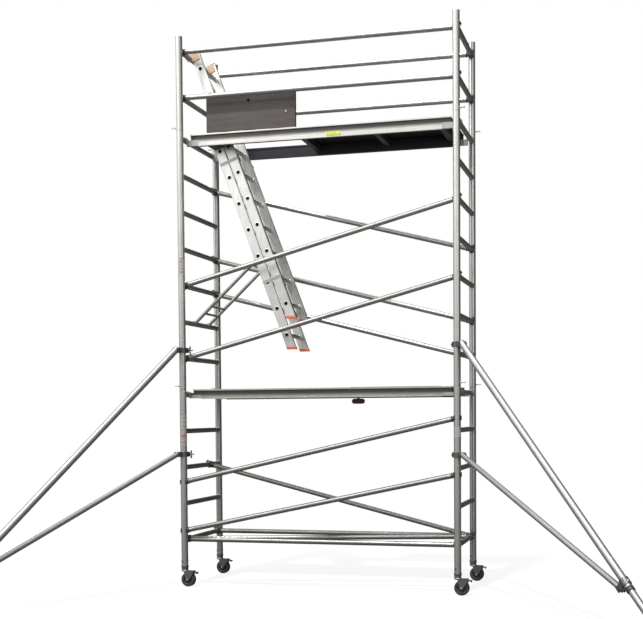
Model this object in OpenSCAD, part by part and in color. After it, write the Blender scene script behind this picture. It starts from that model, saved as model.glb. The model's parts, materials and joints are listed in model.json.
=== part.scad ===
/* [Tower] */
// Distance between the two end frames, centre to centre
tower_l = 2130; // [2000:10:2300]
// Distance between the two posts of a frame, centre to centre
frame_w = 770; // [760:5:800]
// Outside diameter of a post
post_d = 52; // [51:0.5:54]
// Wall of a post
post_wall = 2.2; // [1.8:0.1:3]
// Outside diameter of a frame rung
rung_d = 38; // [36:0.5:38]
// Vertical distance between rungs
rung_pitch = 280; // [275:1:285]
// Height of the lowest rung above the floor
rung_low_z = 362; // [350:1:380]
// Height of the bottom end of the posts above the floor
post_low_z = 150; // [148:1:156]
// Height of the lower guard rung above the top frame rung
guard_mid_rise = 315; // [312:1:330]
// Height of the upper guard rung above the lower one
guard_top_rise = 348; // [340:1:380]
// Post length left above the upper guard rung
post_top_rise = 103; // [90:1:130]

/* [Braces] */
// Outside diameter of a brace or guard rail tube
brace_d = 38; // [36:0.5:38]
// Distance from a post's axis to the first brace beside it
brace_inset = 47; // [46:1:50]
// Length of a snap hook along the rung
hook_w = 30; // [28:1:32]
// Travel of a hook's trigger
trigger_travel = 16; // [14:1:17]

/* [Platforms] */
// Overall width of a platform
platform_w = 610; // [600:5:615]
// Height of the top platform's side rails
top_rail_h = 92; // [88:1:94]
// Height of the low platform's side rails
low_rail_h = 74; // [72:1:80]
// Height of the deck above the centre of the rungs that carry it
deck_rise = 43; // [42:1:46]
// Length of the hatch opening
hatch_l = 715; // [650:5:740]
// Distance from the frame's centre to the near end of the hatch opening
hatch_offset = 170; // [160:1:180]
// Thickness of the deck boards and the hatch leaves
board_t = 10; // [8:0.5:10]

/* [Ladder] */
// Lean of the ladder from upright, in degrees
ladder_lean = 20.3; // [19.8:0.1:20.8]
// Overall width of the ladder
ladder_w = 370; // [350:5:380]
// Distance between ladder rungs
ladder_pitch = 218; // [215:1:225]
// Depth of a ladder stile
stile_depth = 70; // [66:1:72]
// Thickness of a ladder stile
stile_t = 25; // [22:1:28]
// Diameter of a ladder rung
ladder_rung_d = 30; // [26:1:32]
// Distance between the two ladder sections, centre to centre
section_gap = 80; // [80:1:86]
// Number of rungs in the lower section
lower_rungs = 8; // [7:1:8]
// Number of rungs in the upper section
upper_rungs = 10; // [9:1:10]

/* [Outriggers] */
// Horizontal reach from the post to the foot
outrigger_run = 2110; // [2000:10:2200]
// Height of the upper clamp's pivot
outrigger_top_z = 1824; // [1815:1:1840]
// Height of the lower clamp's pivot
outrigger_strut_z = 1023; // [1005:1:1035]
// Heading of the left outrigger, from straight out along the tower, in degrees
outrigger_left_heading = 60; // [50:1:70]
// Heading of the right outrigger, from straight out along the tower, in degrees
outrigger_right_heading = 47.5; // [40:0.5:60]
// Outside diameter of the outrigger tube
outrigger_d = 50; // [48:1:52]

/* [Castors] */
// Wheel diameter
wheel_d = 110; // [100:1:112]
// Wheel width
wheel_w = 44; // [38:1:46]
// Distance the wheel trails behind its swivel axis
castor_trail = 30; // [24:1:36]

/* [Hidden] */
$fn = 48;

slip = 0.05;                        // radial running clearance

// Frames
post_r = post_d / 2;
bore_r = post_r - post_wall;
rung_r = rung_d / 2;
rung_bore_r = rung_r - 2;
half_l = tower_l / 2;
half_w = frame_w / 2;
base_rungs = 5;
frame_rungs = 12;
function rung_z(k) = rung_low_z + rung_pitch * k;
low_deck_rung_z = rung_z(base_rungs - 1);
top_deck_rung_z = rung_z(frame_rungs - 1);
guard_mid_z = top_deck_rung_z + guard_mid_rise;
guard_top_z = guard_mid_z + guard_top_rise;
post_top_z = guard_top_z + post_top_rise;
base_joint_z = low_deck_rung_z + 45;
guard_joint_z = top_deck_rung_z + 55;
socket_r = bore_r + 0.6;
socket_l = 90;
spigot_half = 60;
spigot_r = bore_r - slip;
spigot_wall = 3;

// Spring clips: a wire loop round the post with a pin through it
clip_wire_r = 2.5;
clip_loop_r = 15;
clip_rise = 22;
clip_pin_r = 4;

// Castors
wheel_r = wheel_d / 2;
fork_plate_z = wheel_d + 6;
fork_plate_t = 5;
fork_leg_t = 4;
fork_leg_y = wheel_w / 2 + 4;
fork_back = castor_trail + 46;
brake_x = castor_trail + 38;
brake_z = fork_plate_z - 6;
kingpin_r = 8;
axle_r = 6;
stem_top_z = post_low_z + 90;
corner_x = [-half_l, half_l, -half_l, half_l];
corner_y = [-half_w, -half_w, half_w, half_w];

// Braces and hooks
brace_r = brace_d / 2;
brace_bore_r = brace_r - 1.8;
hook_r = rung_r + 9;
hook_bore_r = rung_r + 0.2;
hook_nose = 30;
hook_back = 34;
plug_l = 50;
trigger_l = 5;
trigger_w = 12;
trigger_x = 21;
trigger_low = 5;
trigger_top = hook_r + 8;
brace_y = half_w - brace_inset;
hook_step = hook_w + 10;
clip_h = 34;
clip_reach = post_r + 14;

// Platforms
rail_half_l = half_l - 52;
rail_y = platform_w / 2;
rail_box_top = -42;                  // the closed box of a rail hangs below this level
rail_box_w = 35;
rail_wall = 2.5;
rail_set_back = 12;
rail_box_half_l = rail_half_l - 66;
rail_web_t = 4;
rail_lip_h = 12;
rail_lip_w = 20;
crossbar_w = 40;
crossbar_h = 50;
hatch_x0 = -(hatch_offset + hatch_l);
hatch_x1 = -hatch_offset;
pin_r = 3;
knuckle_r = 5.5;
hinge_y = 277;
hinge_z = 4;
leaf_edge = 3;
board_z = -rail_lip_h;              // underside of the deck boards and closed leaves
knuckle_l = 60;
knuckle_pairs = 3;
claw_r = rung_r + 8;
claw_w = 28;
catch_x = hatch_x1 - 74;
catch_y = 46;
catch_stem_r = 8;
stop_x = hatch_x1 - 74;
stop_y = 155;
stop_bore_r = 4;
finger_x = hatch_x0 + hatch_l / 2 - 15;
finger_y = 51;
finger_r = 12;
open_angle = 90;
fold_angle = 180;

// Ladder: the reference point is on the upper section's centre line at deck height
ladder_ref_x = -half_l + 309;
ladder_ref_z = top_deck_rung_z - 13;
ladder_y = 10;
upper_top_s = 630;
lower_top_s = -34;
stile_wall = 1.8;
stile_over = 128;
lower_stile_over = 20;
foot_h = 18;
guide_t = 3;
guide_h = 22;
guide_up = 562;
guide_gap = 1.5;
hook_plate_t = 8;
lower_under = 118;
upper_under = 124;
lower_low_s = lower_top_s - (lower_rungs - 1) * ladder_pitch - lower_under;
upper_low_s = upper_top_s - (upper_rungs - 1) * ladder_pitch - upper_under;
// Place of the upper guard rung in the ladder's own frame
rung_dx = -half_l - ladder_ref_x;
rung_dz = guard_top_z - ladder_ref_z;
hook_u = rung_dx * cos(ladder_lean) + rung_dz * sin(ladder_lean);
hook_s = -rung_dx * sin(ladder_lean) + rung_dz * cos(ladder_lean);

// Ladder stay: from a rung of the left frame to a rung of the ladder's lower section
stay_rung_z = rung_z(6);
stay_y = ladder_w / 2 - stile_t - 16;
stay_r = 13;
stay_s = lower_top_s - 4 * ladder_pitch;
stay_dx = ladder_ref_x - section_gap * cos(ladder_lean) - stay_s * sin(ladder_lean) + half_l;
stay_dz = ladder_ref_z - section_gap * sin(ladder_lean) + stay_s * cos(ladder_lean) - stay_rung_z;
stay_rise = atan2(stay_dz, stay_dx);
stay_l = norm([stay_dx, stay_dz]);

// Outriggers: worked out in the upright plane through the post
clamp_reach = 64;
ball_r = 15;
ball_z = 42;
outrigger_drop = atan2(outrigger_top_z - ball_z, outrigger_run - clamp_reach);
outrigger_l = (outrigger_run - clamp_reach) / cos(outrigger_drop);
outrigger_tube_l = outrigger_l * 0.872;
extension_in = 450;
extension_r = outrigger_d / 2 - 3 - slip;
coupler_at = outrigger_l * 0.846;
coupler_drop = 56;
strut_r = 19;
clamp_h = 38;
clamp_r = post_r + 9;
clamp_bore_r = post_r + slip;
foot_r = 58;
ball_x = clamp_reach + outrigger_l * cos(outrigger_drop);
coupler_x = clamp_reach + coupler_at * cos(outrigger_drop) - coupler_drop * sin(outrigger_drop);
coupler_z = outrigger_top_z - coupler_at * sin(outrigger_drop)
    - coupler_drop * cos(outrigger_drop);
strut_rise = outrigger_strut_z - coupler_z;
strut_l = norm([coupler_x - clamp_reach, strut_rise]);
strut_drop = atan2(strut_rise, coupler_x - clamp_reach);

module tube(r, wall, l) {
    difference() {
        cylinder(r = r, h = l);
        translate([0, 0, -1]) cylinder(r = r - wall, h = l + 2);
    }
}

// Aims a shape drawn along +Z from point a towards point b, both in one XZ or XY plane
module along(a, b) {
    d = b - a;
    flat = norm([d.x, d.y]);
    translate(a) rotate([0, atan2(flat, d.z), atan2(d.y, d.x)]) children();
}

/* Frames */
module frame(x, z0, z1, rungs, pinned) {
    color("silver") difference() {
        union() {
            for (s = [-1, 1]) translate([x, s * half_w, z0]) cylinder(r = post_r, h = z1 - z0);
            for (z = rungs)
                translate([x, -half_w, z]) rotate([-90, 0, 0]) cylinder(r = rung_r, h = frame_w);
        }
        for (s = [-1, 1])
            translate([x, s * half_w, z0 - 1]) cylinder(r = bore_r, h = z1 - z0 + 2);
        for (z = rungs)
            translate([x, -half_w, z]) rotate([-90, 0, 0]) cylinder(r = rung_bore_r, h = frame_w);
        if (pinned) for (s = [-1, 1]) translate([x, s * half_w, z0 + clip_rise])
            rotate([0, sign(x) * 90, 0]) cylinder(r = clip_pin_r + slip, h = 2 * post_r);
    }
}

module frame_base(x) {
    frame(x, post_low_z, base_joint_z, [for (k = [0 : base_rungs - 1]) rung_z(k)], false);
}

module frame_upper(x) {
    upper = [for (k = [base_rungs : frame_rungs - 1]) rung_z(k)];
    frame(x, base_joint_z, guard_joint_z, upper, true);
}

// The open post tops are reamed to a plain socket for the spigot of a further frame
module frame_guard(x) {
    color("silver") difference() {
        frame(x, guard_joint_z, post_top_z, [guard_mid_z, guard_top_z], true);
        for (s = [-1, 1]) translate([x, s * half_w, post_top_z - socket_l])
            cylinder(r = socket_r, h = socket_l + 1);
    }
}

module at_posts() {
    for (sx = [-1, 1]) for (sy = [-1, 1]) translate([sx * half_l, sy * half_w, 0])
        rotate([0, 0, sx < 0 ? 180 : 0]) children();
}

module frame_spigots() {
    color("gainsboro") at_posts() for (z = [base_joint_z, guard_joint_z])
        translate([0, 0, z - spigot_half]) difference() {
            tube(spigot_r, spigot_wall, 2 * spigot_half);
            translate([0, 0, spigot_half + clip_rise]) rotate([0, 90, 0])
                cylinder(r = clip_pin_r + slip, h = 2 * post_r);
        }
}

// One clip: a pin along +X through post and spigot, and a wire ring outside the post
module spring_clip() {
    pin_in = bore_r - spigot_wall - 4;
    translate([pin_in, 0, 0]) rotate([0, 90, 0]) cylinder(r = clip_pin_r, h = post_r + 8 - pin_in);
    translate([post_r + 1, 0, 0]) rotate([0, 90, 0]) cylinder(r = clip_pin_r + 2, h = 7);
    translate([post_r + 7 + clip_loop_r, 0, 0]) rotate_extrude()
        translate([clip_loop_r, 0]) circle(r = clip_wire_r);
}

module spring_clips() {
    color("dimgray") at_posts() for (z = [base_joint_z, guard_joint_z])
        translate([0, 0, z + clip_rise]) spring_clip();
}

/* Castors */
module castor_stem() {
    translate([0, 0, post_low_z]) cylinder(r = bore_r - slip, h = stem_top_z - post_low_z);
    translate([0, 0, fork_plate_z + fork_plate_t + 1])
        cylinder(r = post_r, h = post_low_z - fork_plate_z - fork_plate_t - 1);
    translate([0, 0, fork_plate_z - 1])
        cylinder(r = kingpin_r, h = post_low_z - fork_plate_z);
    translate([0, 0, fork_plate_z - 4.5]) cylinder(r = kingpin_r + 5, h = 4);
}

module castor_stems() {
    color("lightgray") for (i = [0 : 3]) translate([corner_x[i], corner_y[i], 0]) castor_stem();
}

module castor_fork(i) {
    color("darkgray") translate([corner_x[i], corner_y[i], 0]) difference() {
        union() {
            translate([0, 0, fork_plate_z]) linear_extrude(height = fork_plate_t)
                union() {
                    circle(r = post_r);
                    translate([0, -fork_leg_y - fork_leg_t])
                        square([fork_back, 2 * (fork_leg_y + fork_leg_t)]);
                }
            for (s = [-1, 1]) translate([0, s * (fork_leg_y + fork_leg_t / 2), 0])
                rotate([90, 0, 0]) linear_extrude(height = fork_leg_t, center = true) fork_leg();
        }
        translate([0, 0, fork_plate_z - 1]) cylinder(r = kingpin_r + slip, h = fork_plate_t + 2);
        translate([castor_trail, 0, wheel_r]) rotate([90, 0, 0])
            cylinder(r = axle_r + slip, h = 4 * fork_leg_y, center = true);
        translate([brake_x, 0, brake_z]) rotate([90, 0, 0])
            cylinder(r = pin_r + slip, h = 4 * fork_leg_y, center = true);
    }
}

module fork_leg() {
    union() {
        polygon([
            [2, fork_plate_z + 1], [fork_back, fork_plate_z + 1],
            [fork_back, fork_plate_z - 12], [castor_trail + 13, wheel_r],
            [castor_trail - 13, wheel_r], [2, fork_plate_z - 16]
        ]);
        translate([castor_trail, wheel_r]) circle(r = 13);
    }
}

module castor_axle(i) {
    outside = fork_leg_y + fork_leg_t;
    color("gray") translate([corner_x[i] + castor_trail, corner_y[i], wheel_r])
        rotate([90, 0, 0]) union() {
            cylinder(r = axle_r, h = 2 * outside + 6, center = true);
            for (s = [-1, 1]) translate([0, 0, s * (outside + 3.2)])
                cylinder(r = 10, h = 6, center = true, $fn = 6);
        }
}

module castor_wheel(i) {
    color("#181818") translate([corner_x[i] + castor_trail, corner_y[i], wheel_r])
        rotate([90, 0, 0]) difference() {
            rotate_extrude() union() {
                translate([axle_r + slip, -wheel_w / 2 - 2]) square([10, wheel_w + 4]);
                translate([axle_r + 5, -6]) square([wheel_r - 24, 12]);
                translate([wheel_r - 20, -wheel_w / 2]) square([14, wheel_w]);
                translate([wheel_r - 8, -wheel_w / 2 + 6]) square([8, wheel_w - 12]);
                for (s = [-1, 1]) translate([wheel_r - 7, s * (wheel_w / 2 - 7)]) circle(r = 7);
            }
        }
}

module castor_brake(i) {
    inner = fork_leg_y - 0.6;
    color("dimgray") translate([corner_x[i] + brake_x, corner_y[i], brake_z]) {
        rotate([90, 0, 0]) cylinder(r = 5.5, h = 2 * inner, center = true);
        rotate([90, 0, 0])
            cylinder(r = pin_r, h = 2 * (fork_leg_y + fork_leg_t + 1.5), center = true);
        translate([2, 4 - wheel_w / 2, -13.5]) cube([8, wheel_w - 8, 13]);
        rotate([0, 6, 0]) translate([0, 1.5 - inner, -1]) cube([36, 2 * inner - 3, 4]);
        rotate([0, 6, 0]) translate([31.5, 2.5 - inner, -8]) cube([4, 2 * inner - 5, 10]);
    }
}

/* Braces */
// One hook: rung along Y through the origin, mouth towards -X, tube leaving towards +X
module snap_hook(tilt, turn) {
    difference() {
        union() {
            rotate([90, 0, 0]) cylinder(r = hook_r, h = hook_w, center = true);
            translate([-hook_nose, -hook_w / 2, 0]) cube([hook_nose, hook_w, hook_r]);
            rotate([0, 90 - tilt, turn]) cylinder(r = brace_bore_r - slip, h = hook_back + plug_l);
        }
        rotate([90, 0, 0]) cylinder(r = hook_bore_r, h = 2 * hook_w, center = true);
        translate([-2 * hook_r, -hook_w, -hook_bore_r])
            cube([2 * hook_r, 2 * hook_w, 2 * hook_bore_r]);
        translate([-trigger_x - trigger_l - slip, -trigger_w / 2 - slip, 0])
            cube([trigger_l + 2 * slip, trigger_w + 2 * slip, 2 * hook_r]);
    }
}

module hook_trigger() {
    translate([-trigger_x - trigger_l, -trigger_w / 2, trigger_low])
        cube([trigger_l, trigger_w, trigger_top - trigger_low]);
    translate([-trigger_x - trigger_l, -trigger_w / 2 - 4, trigger_top - 5])
        cube([trigger_l + 9, trigger_w + 8, 5]);
}

function rise_angle(z0, z1) = atan2(z1 - z0, tower_l);

// Each member: y and height of its left end, y and height of its right end
front_lines = [
    [-brace_y, rung_z(7), -brace_y, rung_z(9)],
    [-brace_y, rung_z(5), -brace_y, rung_z(7)]
];
rear_lines = [
    [brace_y, rung_z(10), brace_y, rung_z(8)],
    [brace_y, rung_z(8), brace_y, rung_z(6)],
    [brace_y, rung_z(7), brace_y, rung_z(5)],
    [brace_y - 4 * hook_step, rung_z(2), brace_y - hook_step, rung_z(0)]
];
base_lines = [
    [-brace_y, rung_z(0), -brace_y, rung_z(0)],
    [brace_y, rung_z(0), brace_y, rung_z(0)],
    [-brace_y + hook_step, rung_z(0), brace_y - 2 * hook_step, rung_z(0)]
];
guard_lines = [
    for (s = [-1, 1]) for (z = [guard_mid_z, guard_top_z]) [s * brace_y, z, s * brace_y, z]
];
all_lines = concat(front_lines, rear_lines, base_lines, guard_lines);
// Clipped to the front posts themselves: height at the left post and at the right post
post_lines = [
    [rung_z(0) + 70, rung_z(2) - 42],
    [rung_z(2) - 113, rung_z(3) + 90]
];

function left_end(m) = [-half_l, m[0], m[1]];
function right_end(m) = [half_l, m[2], m[3]];
function heading(m) = atan2(m[2] - m[0], tower_l);

module line_tube(m, back) {
    a = left_end(m);
    b = right_end(m);
    along(a, b) translate([0, 0, back]) tube(brace_r, brace_r - brace_bore_r, norm(b - a) - 2 * back);
}

module at_hooks() {
    for (m = all_lines) {
        translate(left_end(m)) hook_pose(rise_angle(m[1], m[3]), heading(m)) children();
        translate(right_end(m)) rotate([0, 0, 180])
            hook_pose(-rise_angle(m[1], m[3]), heading(m)) children();
    }
}

module hook_pose(tilt, turn) {
    $tilt = tilt;
    $turn = turn;
    children();
}

module snap_hooks() {
    color("#2a2a2a") at_hooks() snap_hook($tilt, $turn);
}

module hook_triggers() {
    color("firebrick") at_hooks() hook_trigger();
}

module post_line_tube(m) {
    a = [-half_l, -half_w, m[0]];
    b = [half_l, -half_w, m[1]];
    back = clip_reach + 2;
    along(a, b) translate([0, 0, back]) tube(brace_r, brace_r - brace_bore_r, norm(b - a) - 2 * back);
}

module front_diagonals() {
    color("gainsboro") {
        for (m = front_lines) line_tube(m, hook_back);
        for (m = post_lines) post_line_tube(m);
    }
}

module rear_diagonals() {
    color("gainsboro") for (m = rear_lines) line_tube(m, hook_back);
}

module base_braces() {
    color("gainsboro") for (m = base_lines) line_tube(m, hook_back);
}

module guard_rails() {
    color("gainsboro") for (m = guard_lines) line_tube(m, hook_back);
}

// A spring collar that snaps on a post from behind, mouth on the given side in Y, tube towards +X
module post_clip(tilt, mouth) {
    difference() {
        union() {
            cylinder(r = post_r + 6, h = clip_h, center = true);
            rotate([0, 90 - tilt, 0]) cylinder(r = brace_bore_r - slip, h = clip_reach + plug_l);
        }
        cylinder(r = post_r + slip, h = 3 * clip_h, center = true);
        translate([-post_r * 0.8, mouth * 1.5 * post_r - post_r, -clip_h])
            cube([post_r * 1.6, 2 * post_r, 2 * clip_h]);
    }
}

module post_clips() {
    color("#2a2a2a") for (m = post_lines) {
        translate([-half_l, -half_w, m[0]]) post_clip(rise_angle(m[0], m[1]), -1);
        translate([half_l, -half_w, m[1]]) rotate([0, 0, 180])
            post_clip(-rise_angle(m[0], m[1]), 1);
    }
}

/* Platforms: own frame has its origin at the middle of the deck's top, hatch towards -X */
module at_top_platform() {
    translate([0, 0, top_deck_rung_z + deck_rise]) children();
}

module at_low_platform() {
    translate([0, 0, low_deck_rung_z + deck_rise]) rotate([0, 0, 180]) children();
}

module at_platforms() {
    at_top_platform() children();
    at_low_platform() children();
}

// Section of the near side rail's box, in Y and Z, for a rail of height h
module rail_box(h) {
    difference() {
        translate([-rail_y, -h]) square([rail_box_w, h + rail_box_top]);
        translate([-rail_y + rail_wall, -h + rail_wall])
            square([rail_box_w - 2 * rail_wall, h + rail_box_top - 2 * rail_wall]);
    }
}

// Its web and lip, which run on past the box at both ends
module rail_lip() {
    translate([-rail_y + rail_set_back, rail_box_top - 1])
        square([rail_web_t, -rail_box_top - rail_lip_h + 2]);
    translate([-rail_y, -rail_lip_h]) square([rail_lip_w, rail_lip_h]);
}

module side_rail(h) {
    translate([-rail_half_l, 0, 0]) rotate([90, 0, 90])
        linear_extrude(height = 2 * rail_half_l) rail_lip();
    translate([-rail_box_half_l, 0, 0]) rotate([90, 0, 90])
        linear_extrude(height = 2 * rail_box_half_l) rail_box(h);
}

module crossbar(x, w) {
    inside = 2 * (rail_y - rail_box_w - slip);
    translate([x, 0, -board_t - 2 - crossbar_h / 2]) difference() {
        cube([w, inside, crossbar_h], center = true);
        cube([w - 6, inside + 2, crossbar_h - 6], center = true);
    }
}

// Knuckles along X from x0 to x1, every second one starting with the given phase
module knuckles(phase) {
    step = hatch_l / (2 * knuckle_pairs + 1);
    for (k = [phase : 2 : 2 * knuckle_pairs])
        translate([hatch_x0 + step * k + 0.3, 0, 0]) rotate([0, 90, 0])
            cylinder(r = knuckle_r, h = step - 0.6);
}

module knuckle_straps(phase, y0, y1, z0, z1) {
    step = hatch_l / (2 * knuckle_pairs + 1);
    for (k = [phase : 2 : 2 * knuckle_pairs])
        translate([hatch_x0 + step * k + 0.3, y0, z0]) cube([step - 0.6, y1 - y0, z1 - z0]);
}

module pin_bore(y) {
    translate([hatch_x0 - 5, y, hinge_z]) rotate([0, 90, 0])
        cylinder(r = pin_r + slip, h = hatch_l + 10);
}

module platform_frame(h) {
    difference() {
        union() {
            side_rail(h);
            mirror([0, 1, 0]) side_rail(h);
            crossbar(rail_box_half_l - crossbar_w / 2, crossbar_w);
            crossbar(hatch_x1 + crossbar_w / 2, crossbar_w);
            crossbar((hatch_x1 + rail_half_l) / 2, crossbar_w);
            crossbar(hatch_x0 - crossbar_w / 2, crossbar_w);
            translate([0, -hinge_y, hinge_z]) knuckles(0);
            knuckle_straps(0, -rail_y + 4, -hinge_y, -1, 2.5);
        }
        pin_bore(-hinge_y);
    }
}

module platform_frames() {
    color("lightgray") {
        at_top_platform() platform_frame(top_rail_h);
        at_low_platform() platform_frame(low_rail_h);
    }
}

// One claw for a rail of height h: hook over the rung, arm, and a tongue inside the rail's box
module claw(h) {
    arm_l = half_l - rail_box_half_l - slip;
    arm_z = deck_rise - h + 4;
    tongue_y = rail_box_w - 2 * rail_wall - 0.6;
    difference() {
        union() {
            rotate([90, 0, 0]) cylinder(r = claw_r, h = claw_w, center = true);
            translate([0, -claw_w / 2, arm_z]) cube([arm_l, claw_w, -arm_z - 2]);
            translate([arm_l - 1, -tongue_y / 2, deck_rise - h + rail_wall + 0.3])
                cube([70, tongue_y, h + rail_box_top - 2 * rail_wall - 0.6]);
        }
        rotate([90, 0, 0]) cylinder(r = rung_r + 0.2, h = claw_w + 2, center = true);
        translate([-rung_r - 0.2, -claw_w / 2 - 1, -2 * claw_r])
            cube([2 * rung_r + 0.4, claw_w + 2, 2 * claw_r]);
        translate([-claw_r - 1, -claw_w / 2 - 1, -2 * claw_r])
            cube([claw_r, claw_w + 2, 2 * claw_r - 8]);
    }
}

module platform_claws() {
    claw_y = rail_y - rail_box_w / 2;
    decks = [[top_deck_rung_z, top_rail_h], [low_deck_rung_z, low_rail_h]];
    color("darkgray") for (d = decks) for (s = [-1, 1]) {
        translate([-half_l, s * claw_y, d[0]]) claw(d[1]);
        translate([half_l, s * claw_y, d[0]]) rotate([0, 0, 180]) claw(d[1]);
    }
}

module deck_boards() {
    inside = 2 * (rail_y - rail_lip_w) - 1;
    color("#3a3330") at_platforms() {
        translate([hatch_x1 + 2, -inside / 2, board_z])
            cube([rail_half_l - hatch_x1 - 4, inside, board_t]);
        translate([-rail_half_l + 2, -inside / 2, board_z])
            cube([rail_half_l + hatch_x0 - 4, inside, board_t]);
    }
}

module hinge_pin(y) {
    translate([hatch_x0 - 4, y, hinge_z]) rotate([0, 90, 0]) cylinder(r = pin_r, h = hatch_l + 8);
}

module hatch_hinge_pins() {
    color("gray") at_platforms() hinge_pin(-hinge_y);
}

// Both leaves are drawn closed; the hinged leaf turns on the rail, the folding one on the first
module hinged_leaf() {
    color("#6c625e") difference() {
        union() {
            translate([hatch_x0 + 2, -hinge_y + leaf_edge, board_z])
                cube([hatch_l - 4, hinge_y - 2 * leaf_edge, board_t]);
            translate([0, -hinge_y, hinge_z]) knuckles(1);
            knuckle_straps(1, -hinge_y, -hinge_y + 36, -3, 1);
            translate([0, 0, hinge_z]) knuckles(0);
            knuckle_straps(0, -36, 0, -3, 1);
        }
        pin_bore(-hinge_y);
        pin_bore(0);
    }
}

// The folding leaf, with one more hole of radius bore for a catch or a stop
module folding_leaf(bore_x, bore_y, bore) {
    color("#6c625e") difference() {
        union() {
            translate([hatch_x0 + 2, leaf_edge, board_z])
                cube([hatch_l - 4, hinge_y - 2 * leaf_edge, board_t]);
            translate([0, 0, hinge_z]) knuckles(1);
            knuckle_straps(1, 0, 18, -3, 1);
        }
        pin_bore(0);
        translate([finger_x, finger_y, -50]) cylinder(r = finger_r, h = 100);
        translate([bore_x, bore_y, -50]) cylinder(r = bore, h = 100);
    }
}

module turned(y, angle) {
    translate([0, y, hinge_z]) rotate([angle, 0, 0]) translate([0, -y, -hinge_z]) children();
}

module top_hatch_hinged_leaf() {
    at_top_platform() turned(-hinge_y, open_angle) hinged_leaf();
}

module top_hatch_folding_leaf() {
    at_top_platform() turned(-hinge_y, open_angle) turned(0, fold_angle)
        folding_leaf(stop_x, stop_y, stop_bore_r);
}

module top_hatch_fold_pin() {
    color("gray") at_top_platform() turned(-hinge_y, open_angle) hinge_pin(0);
}

module low_hatch_hinged_leaf() {
    at_low_platform() hinged_leaf();
}

module low_hatch_folding_leaf() {
    at_low_platform() folding_leaf(catch_x, catch_y, catch_stem_r + slip);
}

module low_hatch_fold_pin() {
    color("gray") at_low_platform() hinge_pin(0);
}

module low_hatch_catch() {
    color("#3c1518") at_low_platform() translate([catch_x, catch_y, 0]) {
        translate([0, 0, -low_rail_h - 20])
            cylinder(r = catch_stem_r, h = low_rail_h + 20 + board_z + board_t + 2);
        translate([0, 0, board_z + board_t + slip]) cylinder(r = 14, h = 4);
        translate([0, 0, board_z - 8 - slip]) cylinder(r = 14, h = 8);
        translate([0, 0, -low_rail_h - 28]) rotate([90, 0, 0])
            linear_extrude(height = 34, center = true) catch_outline();
    }
}

module catch_outline() {
    for (s = [-1, 1]) translate([s * 28, 0]) circle(r = 20);
    translate([-28, -20]) square([56, 40]);
}

/* Ladder: own frame has Z up along the ladder and X towards the climbing side */
module at_ladder() {
    translate([ladder_ref_x, ladder_y, ladder_ref_z]) rotate([0, -ladder_lean, 0]) children();
}

// Everything lower than a level plane through the ladder's own point [0, 0, s]
module below_level(s) {
    translate([0, 0, s]) rotate([0, ladder_lean, 0]) translate([-200, -300, -400])
        cube([400, 600, 400]);
}

// One section: top rung at s, so many rungs below it, stiles from the feet to past the top rung
module ladder_section(s, count, over, under) {
    sole = s - (count - 1) * ladder_pitch - under;
    stile_l = s + over - sole + 40;
    rungs = [for (k = [0 : count - 1]) s - k * ladder_pitch];
    for (k = [-1, 1]) difference() {
        translate([-stile_depth / 2, k * (ladder_w - stile_t) / 2 - stile_t / 2, sole - 40])
            cube([stile_depth, stile_t, stile_l]);
        translate([stile_wall - stile_depth / 2,
            k * (ladder_w - stile_t) / 2 + stile_wall - stile_t / 2, sole - 41])
            cube([stile_depth - 2 * stile_wall, stile_t - 2 * stile_wall, stile_l + 2]);
        for (z = rungs) translate([0, k * (ladder_w - stile_t) / 2, z]) rotate([90, 0, 0])
            cylinder(r = ladder_rung_d / 2 + slip, h = 2 * stile_t, center = true);
        below_level(sole + foot_h / cos(ladder_lean));
    }
    for (z = rungs) translate([0, 0, z]) rotate([90, 0, 0]) difference() {
        cylinder(r = ladder_rung_d / 2, h = ladder_w, center = true);
        cylinder(r = ladder_rung_d / 2 - 2, h = ladder_w + 4, center = true);
    }
}

module ladder_lower() {
    color("whitesmoke") at_ladder() translate([-section_gap, 0, 0])
        ladder_section(lower_top_s, lower_rungs, lower_stile_over, lower_under);
}

module ladder_upper() {
    color("whitesmoke") at_ladder()
        ladder_section(upper_top_s, upper_rungs, stile_over, upper_under);
}

// A pad with a level sole through the origin, and a tongue up into the stile
module stile_foot() {
    inner_x = stile_depth - 2 * stile_wall - 0.4;
    inner_y = stile_t - 2 * stile_wall - 0.4;
    pad_top = (foot_h - slip) / cos(ladder_lean);
    difference() {
        union() {
            difference() {
                translate([-stile_depth / 2 - 2, -stile_t / 2 - 2, -40])
                    cube([stile_depth + 4, stile_t + 4, 120]);
                translate([0, 0, pad_top]) rotate([0, ladder_lean, 0])
                    translate([-200, -50, 0]) cube([400, 100, 400]);
            }
            translate([-inner_x / 2, -inner_y / 2, 0]) cube([inner_x, inner_y, 52]);
        }
        below_level(0);
    }
}

module stile_cap() {
    inner_x = stile_depth - 2 * stile_wall - 0.4;
    inner_y = stile_t - 2 * stile_wall - 0.4;
    translate([-inner_x / 2, -inner_y / 2, -25]) cube([inner_x, inner_y, 26]);
    translate([-stile_depth / 2, -stile_t / 2, slip]) cube([stile_depth, stile_t, 10]);
}

module at_stiles() {
    for (k = [-1, 1]) translate([0, k * (ladder_w - stile_t) / 2, 0]) children();
}

module ladder_lower_feet() {
    color("orangered") at_ladder() translate([-section_gap, 0, lower_low_s]) at_stiles() stile_foot();
}

module ladder_upper_feet() {
    color("orangered") at_ladder() {
        translate([0, 0, upper_low_s]) at_stiles() stile_foot();
        translate([0, 0, upper_top_s + stile_over]) at_stiles() stile_cap();
    }
}

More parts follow.
